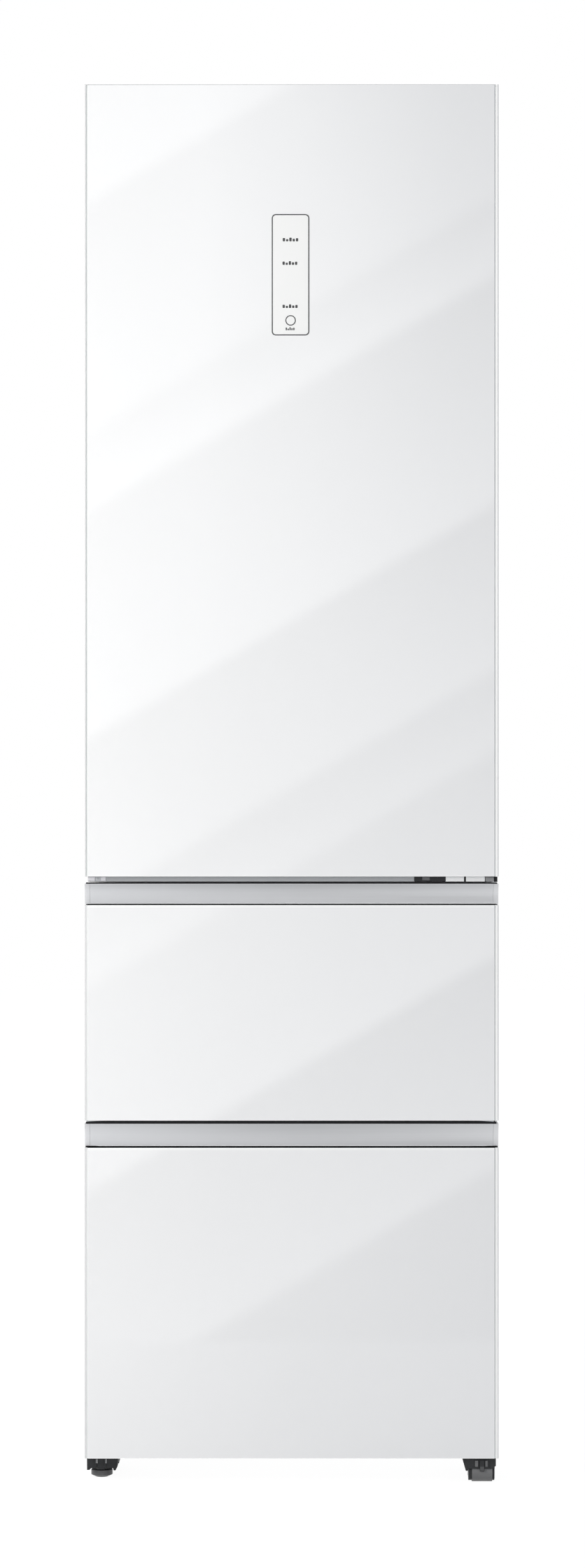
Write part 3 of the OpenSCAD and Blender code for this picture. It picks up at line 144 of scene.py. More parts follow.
class Graph:
    """A node tree with short calls for adding nodes."""

    def __init__(self, tree: bpy.types.NodeTree) -> None:
        """Empties the tree.

        Args:
            tree: The tree to fill.
        """
        self.tree = tree
        tree.nodes.clear()

    def add(self, kind: str, sockets: dict[str | int, Value] | None = None, **settings: object) -> Node:
        """Adds one node.

        Args:
            kind: The node's type without the leading ShaderNode.
            sockets: Values or outputs for its inputs.
            **settings: Properties of the node itself.

        Returns:
            The new node.
        """
        node = self.tree.nodes.new("ShaderNode" + kind)
        for key, value in settings.items():
            setattr(node, key, value)
        for key, value in (sockets or {}).items():
            self.feed(node.inputs[key], value)
        return node

    def feed(self, socket: Socket, value: Value) -> None:
        """Links an output to a socket, or sets its value.

        Args:
            socket: The input to feed.
            value: What it gets.
        """
        if isinstance(value, Socket):
            self.tree.links.new(value, socket)
        elif not isinstance(value, (int, float)) and socket.type == "RGBA":
            socket.default_value = (*value, 1.0)
        else:
            socket.default_value = value

    def math(self, operation: str, *values: Value) -> Socket:
        """Adds a Math node and returns its result."""
        return self.add("Math", dict(enumerate(values)), operation=operation).outputs[0]

    def part(self, vector: Value, axis: Axis) -> Socket:
        """One part of a vector."""
        return self.add("SeparateXYZ", {0: vector}).outputs[axis.value]

    def noise(self, place: Value, scale: Value, detail: float = 2.0, rough: float = 0.5) -> Socket:
        """Adds a noise and returns its value."""
        return self.add("TexNoise", {"Vector": place, "Scale": scale, "Detail": detail,
                                     "Roughness": rough}).outputs[0]

    def remap(self, value: Value, low: float, high: float, to_low: Value, to_high: Value) -> Socket:
        """Maps one range of values onto another, clamped."""
        return self.add("MapRange", {"Value": value, "From Min": low, "From Max": high, "To Min": to_low,
                                     "To Max": to_high}).outputs[0]

    def blend(self, factor: Value, first: Value, second: Value) -> Socket:
        """Mixes two colours."""
        return self.add("Mix", {0: factor, 6: first, 7: second}, data_type="RGBA").outputs[2]

    def scaled(self, colour: Value, factor: Value) -> Socket:
        """Multiplies a colour by a number."""
        return self.add("VectorMath", {0: colour, "Scale": factor}, operation="SCALE").outputs[0]

    def effect(self, group: bpy.types.NodeTree, sockets: dict[str, Value]) -> Node:
        """Places a shared effect.

        Args:
            group: The effect's node group.
            sockets: Values or outputs for its inputs.

        Returns:
            The group's node.
        """
        node = self.tree.nodes.new("ShaderNodeGroup")
        node.node_tree = group
        for key, value in sockets.items():
            self.feed(node.inputs[key], value)
        return node


Draw = Callable[[Graph, Node, Node], None]
Effect = Callable[[], bpy.types.NodeTree]


def shared_effect(inputs: dict[str, str], outputs: dict[str, str]) -> Callable[[Draw], Effect]:
    """Turns a drawing into a function that gives its node group, made once.

    A drawing is given the group's graph, its input node and its output node.

    Args:
        inputs: Socket names and types going in.
        outputs: Socket names and types coming out.

    Returns:
        The decorator.
    """

    def decorate(draw: Draw) -> Effect:
        """Gives the function that takes the drawing's place.

        Args:
            draw: Fills the group between its input and output nodes.

        Returns:
            The function.
        """

        def group() -> bpy.types.NodeTree:
            """Makes the group at the first call, and finds it again later.

            Returns:
                The node group.
            """
            known = bpy.data.node_groups.get(draw.__name__)
            if known:
                return known
            tree = bpy.data.node_groups.new(draw.__name__, "ShaderNodeTree")
            for direction, sockets in (("INPUT", inputs), ("OUTPUT", outputs)):
                for label, kind in sockets.items():
                    tree.interface.new_socket(name=label, in_out=direction, socket_type="NodeSocket" + kind)
            graph = Graph(tree)
            draw(graph, tree.nodes.new("NodeGroupInput"), tree.nodes.new("NodeGroupOutput"))
            return tree

        return group

    return decorate


@shared_effect({"Place": "Vector", "Grains": "Float"}, {"Height": "Float", "Mask": "Float"})
def surface_grain(graph: Graph, given: Node, result: Node) -> None:
    """Fine unevenness of a sprayed or moulded surface, as a height and a slower mask.

    Args are as shared_effect says.
    """
    place, grains = given.outputs[:-1]
    fine = graph.noise(place, grains, 3.0, 0.55)
    cells = graph.add("TexVoronoi", {"Vector": place, "Scale": grains}, feature="SMOOTH_F1").outputs[0]
    graph.feed(result.inputs["Height"], graph.math("MULTIPLY_ADD", cells, 0.45, fine))
    slow = graph.noise(place, graph.math("MULTIPLY", grains, 0.04), 2.0)
    graph.feed(result.inputs["Mask"], graph.remap(slow, 0.15, 0.85, 0.0, 1.0))


@shared_effect({"Place": "Vector", "Colour": "Color", "Drift": "Float", "Patches": "Float"}, {"Colour": "Color"})
def tone_drift(graph: Graph, given: Node, result: Node) -> None:
    """A colour that drifts a little, lighter and darker, over the surface.

    Args are as shared_effect says.
    """
    place, colour, drift, patches = given.outputs[:-1]
    cloud = graph.noise(place, patches, 3.0, 0.6)
    swing = graph.math("MULTIPLY", graph.remap(cloud, 0.3, 0.7, -1.0, 1.0), drift)
    graph.feed(result.inputs["Colour"], graph.scaled(colour, graph.math("ADD", swing, 1.0)))


@shared_effect({"Place": "Vector", "Normal": "Vector", "Colour": "Color", "Amount": "Float"},
               {"Colour": "Color", "Mask": "Float"})
def settled_dust(graph: Graph, given: Node, result: Node) -> None:
    """A pale film of dust on faces that look up.

    Args are as shared_effect says.
    """
    place, normal, colour, amount = given.outputs[:-1]
    cloud = graph.remap(graph.noise(place, 60.0, 4.0, 0.7), 0.3, 0.7, 0.3, 1.0)
    up = graph.remap(graph.part(normal, Axis.Z), 0.5, 0.95, 0.0, 1.0)
    mask = graph.math("MULTIPLY", up, graph.math("MULTIPLY", cloud, amount))
    graph.feed(result.inputs["Colour"], graph.blend(mask, colour, (0.42, 0.40, 0.37)))
    graph.feed(result.inputs["Mask"], mask)


@shared_effect({"Place": "Vector", "Lines": "Float", "Stretch": "Vector"}, {"Height": "Float", "Mask": "Float"})
def brushed_lines(graph: Graph, given: Node, result: Node) -> None:
    """Fine lines drawn out along one direction.

    Args are as shared_effect says.
    """
    place, lines, stretch = given.outputs[:-1]
    drawn = graph.add("VectorMath", {0: place, 1: stretch}, operation="MULTIPLY").outputs[0]
    fine = graph.noise(drawn, lines, 4.0, 0.65)
    broad = graph.noise(drawn, graph.math("MULTIPLY", lines, 0.12), 2.0)
    graph.feed(result.inputs["Height"], graph.math("MULTIPLY_ADD", broad, 0.4, fine))
    graph.feed(result.inputs["Mask"], graph.remap(fine, 0.3, 0.7, 0.0, 1.0))


@shared_effect({"Place": "Vector", "Leaves": "Float"}, {"Mask": "Float"})
def zinc_spangle(graph: Graph, given: Node, result: Node) -> None:
    """The leafy crystals of hot-dip zinc, as a tone mask.

    Args are as shared_effect says.
    """
    place, leaves = given.outputs[:-1]
    waves = graph.scaled(graph.add("TexNoise", {"Vector": place, "Scale": 45.0}).outputs[1], 0.008)
    bent = graph.add("VectorMath", {0: place, 1: waves}, operation="ADD").outputs[0]
    cells = graph.add("TexVoronoi", {"Vector": bent, "Scale": leaves}, feature="F1").outputs[1]
    graph.feed(result.inputs["Mask"], graph.part(cells, Axis.X))


@dataclass(frozen=True)
class Finish:
    """A painted or moulded surface with fine grain, drifting tone and a little dust."""

    name: str
    slot: Slot
    colour: Triple
    roughness: float = 0.4
    metallic: float = 0.0
    grain: float = 900.0
    depth: float = 0.04
    drift: float = 0.02
    patches: float = 4.0
    unevenness: float = 0.08
    coat: float = 0.0
    coat_roughness: float = 0.04
    transmission: float = 0.0
    ior: float = 1.5
    specular: float = 0.5
    dust: float = 0.0

    def material(self) -> bpy.types.Material:
        """Makes the material once, and finds it again later.

        Returns:
            The material.
        """
        known = bpy.data.materials.get(self.name)
        if known:
            return known
        made = bpy.data.materials.new(self.name)
        made.use_nodes = True
        made.diffuse_color = (*self.colour, 1.0)
        graph = Graph(made.node_tree)
        coords = graph.add("TexCoord")
        place, normal = coords.outputs["Object"], coords.outputs["Normal"]
        height, mask = self.relief(graph, place)
        tone = graph.effect(tone_drift(), {"Place": place, "Colour": self.base(graph, place, normal, mask),
                                           "Drift": self.drift, "Patches": self.patches}).outputs[0]
        gloss = graph.remap(mask, 0.0, 1.0, self.roughness * (1 - self.unevenness),
                            self.roughness * (1 + self.unevenness))
        if self.dust:
            dusty = graph.effect(settled_dust(), {"Place": place, "Normal": normal, "Colour": tone,
                                                  "Amount": self.dust})
            tone = dusty.outputs[0]
            gloss = graph.math("MULTIPLY_ADD", dusty.outputs[1], 0.4, gloss)
        bump = graph.add("Bump", {"Distance": self.depth * MM, "Height": height})
        shader = graph.add("BsdfPrincipled", {
            "Base Color": tone, "Roughness": gloss, "Metallic": self.metallic, "IOR": self.ior,
            "Specular IOR Level": self.specular, "Transmission Weight": self.transmission,
            "Coat Weight": self.coat, "Coat Roughness": self.coat_roughness, "Normal": bump.outputs[0]})
        graph.add("OutputMaterial", {0: shader.outputs[0]})
        return made

    def relief(self, graph: Graph, place: Socket) -> tuple[Value, Value]:
        """Height and mask of the fine surface.

        Args:
            graph: The material's graph.
            place: Object coordinates.

        Returns:
            The height for the bump and the mask for the gloss.
        """
        return tuple(graph.effect(surface_grain(), {"Place": place, "Grains": self.grain}).outputs)

    def base(self, graph: Graph, place: Value, normal: Value, mask: Value) -> Value:
        """The colour before its drift.

        Args:
            graph: The material's graph.
            place: Object coordinates.
            normal: The normal in the object's own axes.
            mask: The mask of the fine surface.

        Returns:
            A colour or the output that gives it.
        """
        return self.colour


@dataclass(frozen=True)
class PrintedGlass(Finish):
    """Clear glass over a white print; its polished edge is greener than its face."""

    edge: Triple = (0.58, 0.68, 0.65)

    def base(self, graph: Graph, place: Value, normal: Value, mask: Value) -> Value:
        """Face and edge colours. Args and Returns are as in Finish."""
        facing = graph.math("ABSOLUTE", graph.part(normal, Axis.Y))
        return graph.blend(graph.remap(facing, 0.2, 0.75, 0.0, 1.0), self.edge, self.colour)


@dataclass(frozen=True)
class Brushed(Finish):
    """Metal drawn in lines along X."""

    lines: float = 900.0
    stretch: Triple = (0.01, 1.0, 1.0)

    def relief(self, graph: Graph, place: Socket) -> tuple[Value, Value]:
        """The drawn lines. Args and Returns are as in Finish."""
        return tuple(graph.effect(brushed_lines(), {"Place": place, "Lines": self.lines,
                                                    "Stretch": self.stretch}).outputs)

    def base(self, graph: Graph, place: Value, normal: Value, mask: Value) -> Value:
        """A tone that follows the lines. Args and Returns are as in Finish."""
        return graph.scaled(self.colour, graph.remap(mask, 0.0, 1.0, 0.975, 1.025))


@dataclass(frozen=True)
class Zinc(Finish):
    """Zinc-coated sheet with its crystals."""

    leaves: float = 90.0

    def base(self, graph: Graph, place: Value, normal: Value, mask: Value) -> Value:
        """The crystals' tones. Args and Returns are as in Finish."""
        leaf = graph.effect(zinc_spangle(), {"Place": place, "Leaves": self.leaves}).outputs[0]
        return graph.scaled(self.colour, graph.remap(leaf, 0.0, 1.0, 0.88, 1.08))


@dataclass(frozen=True)
class Circuit(Finish):
    """A green board with paler tracks; what stands on it is black."""

    board_top: float = 1990.7
    part_colour: Triple = (0.02, 0.02, 0.022)
    track_colour: Triple = (0.10, 0.42, 0.22)

    def base(self, graph: Graph, place: Value, normal: Value, mask: Value) -> Value:
        """Board, tracks and parts. Args and Returns are as in Finish."""
        tracks = graph.add("TexBrick", {"Vector": place, "Scale": 60.0, "Mortar Size": 0.04,
                                        "Color1": self.colour, "Color2": self.colour,
                                        "Mortar": self.track_colour}).outputs[0]
        above = graph.math("GREATER_THAN", graph.part(place, Axis.Z), self.board_top * MM)
        return graph.blend(above, tracks, self.part_colour)


WHITE_STEEL = Finish("white_powder_coat", Slot.WHITE_STEEL, (0.86, 0.86, 0.865), 0.34, grain=650, drift=0.012,
                     dust=0.06)
BACK_STEEL = Finish("grey_coated_back", Slot.BACK_STEEL, (0.60, 0.61, 0.62), 0.45, grain=700, depth=0.05, drift=0.03,
                    dust=0.10)
ZINC = Zinc("zinc_sheet", Slot.ZINC, (0.56, 0.575, 0.59), 0.36, 0.9, grain=300, depth=0.02, unevenness=0.2, dust=0.12)
FOAM = Finish("foam_insulation", Slot.FOAM, (0.86, 0.78, 0.52), 0.95, depth=0.4, drift=0.08, specular=0.2)
FRONT_BODY = Finish("front_body", Slot.FRONT_FOAM, (0.84, 0.845, 0.855), 0.42, grain=500, depth=0.03, drift=0.015)
LINER = Finish("liner_gloss_white", Slot.LINER, (0.86, 0.87, 0.88), 0.28, grain=240, depth=0.02, drift=0.008,
               unevenness=0.04, coat=0.2)
WHITE_PLASTIC = Finish("white_moulding", Slot.WHITE_PLASTIC, (0.84, 0.845, 0.85), 0.38, drift=0.015)
MILKY_LENS = Finish("milky_lens", Slot.WHITE_PLASTIC, (0.92, 0.93, 0.95), 0.3, grain=600, depth=0.02, drift=0.01,
                    transmission=0.25)
TRIM_WHITE = Finish("trim_white", Slot.WHITE_PLASTIC, (0.94, 0.94, 0.94), 0.3, grain=600, depth=0.02, drift=0.01,
                    coat=0.2)
# Painted shade: the left trim's white, darker than the right trim's white.
TRIM_PAINTED_SHADE = Finish("trim_shade_white", Slot.WHITE_PLASTIC, (0.79, 0.79, 0.80), 0.4, grain=600, depth=0.02,
                    drift=0.01)
GREY_PLASTIC = Finish("grey_gap_moulding", Slot.GREY_PLASTIC, (0.40, 0.41, 0.43), 0.5, depth=0.05, drift=0.03)
PALE_GREY = Finish("pale_grey_moulding", Slot.GREY_PLASTIC, (0.68, 0.67, 0.71), 0.45)
MID_GREY = Finish("mid_grey_moulding", Slot.GREY_PLASTIC, (0.50, 0.51, 0.54), 0.5)
CAM_GREY = Finish("cam_grey", Slot.CLOSER, (0.10, 0.10, 0.107), 0.5)
CLOSER_END = Finish("closer_end_grey", Slot.CLOSER, (0.27, 0.272, 0.28), 0.5)
CLOSER_WHITE = Finish("closer_white", Slot.CLOSER, (0.88, 0.88, 0.89), 0.36, grain=700, depth=0.03)
# Painted highlight: near-white strips laid along the front glass's edges.
EDGE_PAINTED_HIGHLIGHT = Finish("glass_edge_light", Slot.FRONT_GLASS, (0.985, 0.985, 0.985), 0.3, grain=300, depth=0.01,
                    drift=0.004, coat=0.5)
# Painted shade: a grey strip along the upper edge of the door glass.
EDGE_PAINTED_SHADE = Finish("glass_edge_shade", Slot.FRONT_GLASS, (0.55, 0.56, 0.57), 0.35, grain=300, depth=0.01,
                    drift=0.01, coat=0.5)
FRONT_GLASS = PrintedGlass("white_print_glass", Slot.FRONT_GLASS, (0.896, 0.898, 0.912), 0.45, grain=14, depth=0.01,
                           drift=0.006, patches=1.4, coat=1.0, coat_roughness=0.02, specular=0.0)
TOUCH_FILM = Finish("touch_film", Slot.FILM, (0.925, 0.925, 0.93), 0.4, grain=300, depth=0.01, drift=0.006,
                    coat=1.0, coat_roughness=0.03, specular=0.0)
PRINT_GREY = Finish("print_grey", Slot.FILM, (0.042, 0.043, 0.045), 0.45, depth=0.02, drift=0.08, patches=60)
GRIP = Brushed("grip_brushed_aluminium", Slot.GRIP, (0.545, 0.551, 0.568), 0.36, 1.0, depth=0.012, drift=0.015,
               unevenness=0.18)
GRIP_END = Brushed("grip_end_aluminium", Slot.GRIP, (0.575, 0.58, 0.595), 0.42, 1.0, depth=0.012, drift=0.015)
# Painted highlight: a paler aluminium for the strip along the grip band's foot.
GRIP_PAINTED_HIGHLIGHT = Brushed("grip_rolled_edge", Slot.GRIP, (0.70, 0.705, 0.72), 0.38, 1.0, depth=0.01, drift=0.01)
BLACK_PLASTIC = Finish("black_moulding", Slot.BLACK_PLASTIC, (0.03, 0.03, 0.032), 0.5, grain=1000, depth=0.05,
                       dust=0.25)
# Near-black moulding: a dark closer block, and the lips that paint the shade of the gaps over the grips.
DARK_AND_PAINTED_SHADE = Finish("seam_shade", Slot.BLACK_PLASTIC, (0.030, 0.030, 0.033), 0.75, grain=1000, depth=0.05,
                    specular=0.15)
# Painted shade: near-black for the linings, strips and separator that stand in the shade of pockets and gaps.
PAINTED_SHADE_BLACK = Finish("seam_black", Slot.BLACK_PLASTIC, (0.012, 0.012, 0.013), 0.7, grain=1000, depth=0.05,
                    specular=0.2)
RUBBER = Finish("seal_grey_rubber", Slot.RUBBER, (0.62, 0.625, 0.63), 0.62, grain=1100, depth=0.05, drift=0.03)
SHELF_GLASS = Finish("shelf_safety_glass", Slot.SHELF_GLASS, (0.86, 0.94, 0.92), 0.02, grain=20, depth=0.002,
                     drift=0.01, transmission=0.92, ior=1.52)
CLEAR = Finish("clear_bin_plastic", Slot.CLEAR, (0.94, 0.965, 0.98), 0.06, grain=120, depth=0.01, drift=0.01,
               transmission=0.88, ior=1.49)
BOARD = Circuit("circuit_board", Slot.BOARD, (0.03, 0.20, 0.09), 0.4, depth=0.05)
COMPRESSOR = Finish("compressor_black", Slot.COMPRESSOR, (0.022, 0.022, 0.025), 0.38, grain=260, depth=0.10,
                    coat=0.3, coat_roughness=0.15, dust=0.35)
BLACK_STEEL = Finish("black_enamel", Slot.BLACK_STEEL, (0.025, 0.025, 0.027), 0.42, grain=400, depth=0.05, dust=0.3)
EVAPORATOR = Brushed("evaporator_aluminium", Slot.EVAPORATOR, (0.62, 0.63, 0.64), 0.36, 1.0, depth=0.02,
                     unevenness=0.2)
BRACKET = Finish("bracket_dark", Slot.BRACKET, (0.022, 0.023, 0.025), 0.5, grain=500, depth=0.08, drift=0.08,
                 patches=40, specular=0.3, dust=0.05)
# Painted highlight: paler faces for the ribs and tongue of the foot's bracket and the roller's fork.
RIB_PAINTED_HIGHLIGHT = Finish("bracket_rib_worn", Slot.BRACKET, (0.26, 0.265, 0.27), 0.5, grain=500, depth=0.08, drift=0.15, patches=90)
FORK_RIB = replace(RIB_PAINTED_HIGHLIGHT, name="fork_rib_worn", colour=(0.12, 0.121, 0.124))
TONGUE = replace(RIB_PAINTED_HIGHLIGHT, name="fork_tongue_worn", colour=(0.065, 0.066, 0.068))
FOOT = Finish("foot_dark_plastic", Slot.FOOT, (0.13, 0.131, 0.135), 0.48, grain=800, depth=0.06, drift=0.05,
              patches=50)
ROLLER = Finish("roller_grey_plastic", Slot.ROLLER, (0.16, 0.161, 0.165), 0.42, grain=800, depth=0.05, drift=0.04,
                patches=50)


# Shaping


class Form:
    """A closed shape under construction, in millimetres."""

    def __init__(self) -> None:
        """Starts empty."""
        self.bm = bmesh.new()

    @classmethod
    def slab(cls, lo: Corner, hi: Corner) -> "Form":
        """A box between two corners, ready to be softened.

        Args:
            lo: Lowest corner.
            hi: Highest corner.

        Returns:
            The closed box.
        """
        form = cls()
        lo, hi = Vector(lo), Vector(hi)
        place = Matrix.Translation((lo + hi) / 2) @ Matrix.Diagonal((*(hi - lo), 1.0))
        bmesh.ops.create_cube(form.bm, size=1.0, matrix=place)
        return form

    @classmethod
    def prism(cls, outline: Iterable[Flat], axis: Axis, start: float, end: float) -> "Form":
        """Draws an outline out along an axis.

        Args:
            outline: Flat points in the plane across the axis.
            axis: The direction to draw in.
            start: Where the prism begins.
            end: Where it ends.

        Returns:
            The closed prism.
        """
        form = cls()
        face = form.bm.faces.new([form.bm.verts.new(axis.place(start, a, b)) for a, b in outline])
        made = bmesh.ops.extrude_face_region(form.bm, geom=[face])
        moved = [item for item in made["geom"] if isinstance(item, bmesh.types.BMVert)]
        bmesh.ops.translate(form.bm, verts=moved, vec=axis.vector() * (end - start))
        return form

    @classmethod
    def turned(cls, profile: Iterable[Flat], centre: Corner, axis: Axis, steps: int = 40) -> "Form":
        """Turns a profile about an axis.

        Args:
            profile: Pairs of radius and distance along the axis.
            centre: Where the axis passes.
            axis: The axis to turn about.
            steps: Facets of the full turn.

        Returns:
            The closed turned shape.
        """
        form = cls()
        centre = Vector(centre)
        verts = [form.bm.verts.new(centre + axis.place(h, r, 0.0)) for r, h in profile]
        for first, second in zip(verts, verts[1:]):
            form.bm.edges.new((first, second))
        bmesh.ops.spin(form.bm, geom=form.bm.verts[:] + form.bm.edges[:], cent=centre, axis=axis.vector(),
                       angle=math.tau, steps=steps, use_merge=True)
        bmesh.ops.remove_doubles(form.bm, verts=form.bm.verts[:], dist=0.001)
        return form

    @classmethod
    def ring(cls, lo: Corner, hi: Corner, width: float) -> "Form":
        """A rectangular frame with one opening from front to back.

        Args:
            lo: Lowest outer corner.
            hi: Highest outer corner.
            width: Width of its four sides.

        Returns:
            The closed frame.
        """
        form = cls.slab(lo, hi)
        caps = [face for face in form.bm.faces if abs(face.normal.y) > 0.9]
        bmesh.ops.inset_individual(form.bm, faces=caps, thickness=width, use_even_offset=True)
        rims = [edge for face in caps for edge in face.edges]
        bmesh.ops.delete(form.bm, geom=caps, context="FACES_ONLY")
        bmesh.ops.bridge_loops(form.bm, edges=rims)
        return form

    @classmethod
    def tub(cls, lo: Corner, hi: Corner, mouth: Mouth, wall: float, radius: float, steps: int = 5,
            draft: float = 0.0) -> "Form":
        """A thin-walled tub with rounded inner corners.

        Args:
            lo: Lowest outer corner.
            hi: Highest outer corner.
            mouth: The open side.
            wall: Wall thickness, laid inside the corners; a negative one is laid outside.
            radius: Radius of the corners.
            steps: Segments of a corner.
            draft: How much narrower the closed end is on each side.

        Returns:
            The closed shell.
        """
        form = cls.slab(lo, hi)
        out = Vector(mouth.value)
        open_face = [face for face in form.bm.faces if face.normal.dot(out) > 0.9]
        bmesh.ops.delete(form.bm, geom=open_face, context="FACES_ONLY")
        if draft:
            middle = (Vector(lo) + Vector(hi)) / 2
            level = max(vert.co.dot(out) for vert in form.bm.verts)
            for vert in form.bm.verts:
                if vert.co.dot(out) < level - 1.0:
                    for k in range(3):
                        if not out[k]:
                            vert.co[k] -= math.copysign(draft, vert.co[k] - middle[k])
        form.bevel([edge for edge in form.bm.edges if len(edge.link_faces) == 2], radius, steps)
        bmesh.ops.recalc_face_normals(form.bm, faces=form.bm.faces[:])
        centre = sum((vert.co for vert in form.bm.verts), Vector()) / len(form.bm.verts)
        if sum(face.normal.dot(face.calc_center_median() - centre) for face in form.bm.faces) < 0:
            bmesh.ops.reverse_faces(form.bm, faces=form.bm.faces[:])
        bmesh.ops.solidify(form.bm, geom=form.bm.faces[:], thickness=wall)
        return form

    @classmethod
    def copy_of(cls, node: str) -> "Form":
        """A merged copy of a CAD node, with its flat faces whole.

        Args:
            node: The node's name.

        Returns:
            The copy.
        """
        form = cls()
        form.bm.from_mesh(frame["nodes"][node].data)
        bmesh.ops.scale(form.bm, vec=(1 / MM,) * 3, verts=form.bm.verts[:])
        bmesh.ops.remove_doubles(form.bm, verts=form.bm.verts[:], dist=0.01)
        bmesh.ops.dissolve_limit(form.bm, angle_limit=math.radians(0.6), verts=form.bm.verts[:],
                                 edges=form.bm.edges[:])
        return form

    def bevel(self, edges: list[bmesh.types.BMEdge], radius: float, steps: int, clamp: bool = True) -> None:
        """Rounds the edges given.

        Args:
            edges: The edges.
            radius: How far the rounding reaches from them.
            steps: Its segments.
            clamp: Whether no rounding may grow past its neighbours.
        """
        bmesh.ops.bevel(self.bm, geom=edges, offset=radius, segments=steps, profile=0.5, affect="EDGES",
                        material=-1, clamp_overlap=clamp)

    def soften(self, radius: float, steps: int = 2, angle: float = 30.0, axis: Axis | None = None,
               where: Callable[[Vector], bool] | None = None) -> "Form":
        """Rounds the sharp edges.

        Args:
            radius: How far the rounding reaches from the edge.
            steps: Its segments.
            angle: Edges that turn by more than this, in degrees, are sharp.
            axis: If given, only edges along this direction.
            where: If given, only edges whose middle passes this test.

        Returns:
            The same form.
        """
        limit = math.radians(angle)
        chosen = []
        for edge in self.bm.edges:
            if len(edge.link_faces) != 2 or edge.calc_face_angle(0.0) < limit:
                continue
            run = edge.verts[1].co - edge.verts[0].co
            if axis and abs(run.normalized()[axis.value]) < 0.99:
                continue
            if where and not where((edge.verts[0].co + edge.verts[1].co) / 2):
                continue
            chosen.append(edge)
        if chosen:
            self.bevel(chosen, radius, steps)
        return self

    def add(self, other: "Form") -> "Form":
        """Takes another form's shape in.

        Args:
            other: The form, which is used up.

        Returns:
            The same form.
        """
        carrier = bpy.data.meshes.new("carrier")
        other.bm.to_mesh(carrier)
        other.bm.free()
        self.bm.from_mesh(carrier)
        bpy.data.meshes.remove(carrier)
        return self

    def block(self, lo: Corner, hi: Corner, radius: float, steps: int = 2, axis: Axis | None = None) -> "Form":
        """Takes in a softened slab between two corners."""
        return self.add(Form.slab(lo, hi).soften(radius, steps, axis=axis))

    def mirrored(self) -> "Form":
        """Adds the same shape on the other side of the middle plane.

        Returns:
            The same form.
        """
        twin = bmesh.ops.duplicate(self.bm, geom=self.bm.verts[:] + self.bm.edges[:] + self.bm.faces[:])
        verts = [item for item in twin["geom"] if isinstance(item, bmesh.types.BMVert)]
        faces = [item for item in twin["geom"] if isinstance(item, bmesh.types.BMFace)]
        bmesh.ops.scale(self.bm, vec=(-1, 1, 1), verts=verts)
        bmesh.ops.reverse_faces(self.bm, faces=faces)
        return self

    def settle(self, name: str, finish: Finish, body: str, *stands_for: str) -> bpy.types.Object:
        """Makes the finished piece and gives it to its body.

        Args:
            name: The piece's name.
            finish: Its finish.
            body: The body it rides on.
            *stands_for: CAD nodes that it replaces.

        Returns:
            The new object.
        """
        bmesh.ops.scale(self.bm, vec=(MM,) * 3, verts=self.bm.verts[:])
        bmesh.ops.recalc_face_normals(self.bm, faces=self.bm.faces[:])
        mesh = bpy.data.meshes.new(name)
        self.bm.to_mesh(mesh)
        self.bm.free()
        mesh.shade_smooth()
        mesh.set_sharp_from_angle(angle=math.radians(SHARP_ANGLE))
        mesh.materials.append(finish.material())
        piece = bpy.data.objects.new(name, mesh)
        bpy.context.scene.collection.objects.link(piece)
        even = piece.modifiers.new("even_shading", "WEIGHTED_NORMAL")
        even.keep_sharp = True
        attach(piece, body)
        if stands_for:
            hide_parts(*stands_for)
        log.info("%s: %d faces, rides on %s", name, len(mesh.polygons), body)
        return piece

    def finished(self, node: str, finish: Finish) -> bpy.types.Object:
        """Makes the one piece that stands for a CAD node, on the node's body."""
        return self.settle(f"{node}_finished", finish, body_of(node), node)


def body_of(node: str) -> str:
    """The body that carries a CAD node."""
    return frame["nodes"][node].parent.name.split(":")[-1]


def round_off(*rows: tuple[str, Finish, float], steps: int = 2) -> None:
    """Replaces CAD nodes by copies with rounded edges.

    Args:
        *rows: Each node with its finish and the radius of its sharp edges.
        steps: Segments of the rounding.
    """
    for node, finish, radius in rows:
        Form.copy_of(node).soften(radius, steps).finished(node, finish)


def keep(*rows: tuple[str, Finish]) -> None:
    """Gives CAD nodes, kept as they are, their finish.

    Args:
        *rows: Each node with its finish.
    """
    for node, finish in rows:
        shown = frame["nodes"][node]
        shown.data.materials.clear()
        shown.data.materials.append(finish.material())
        log.info("%s: kept", node)


# Fronts


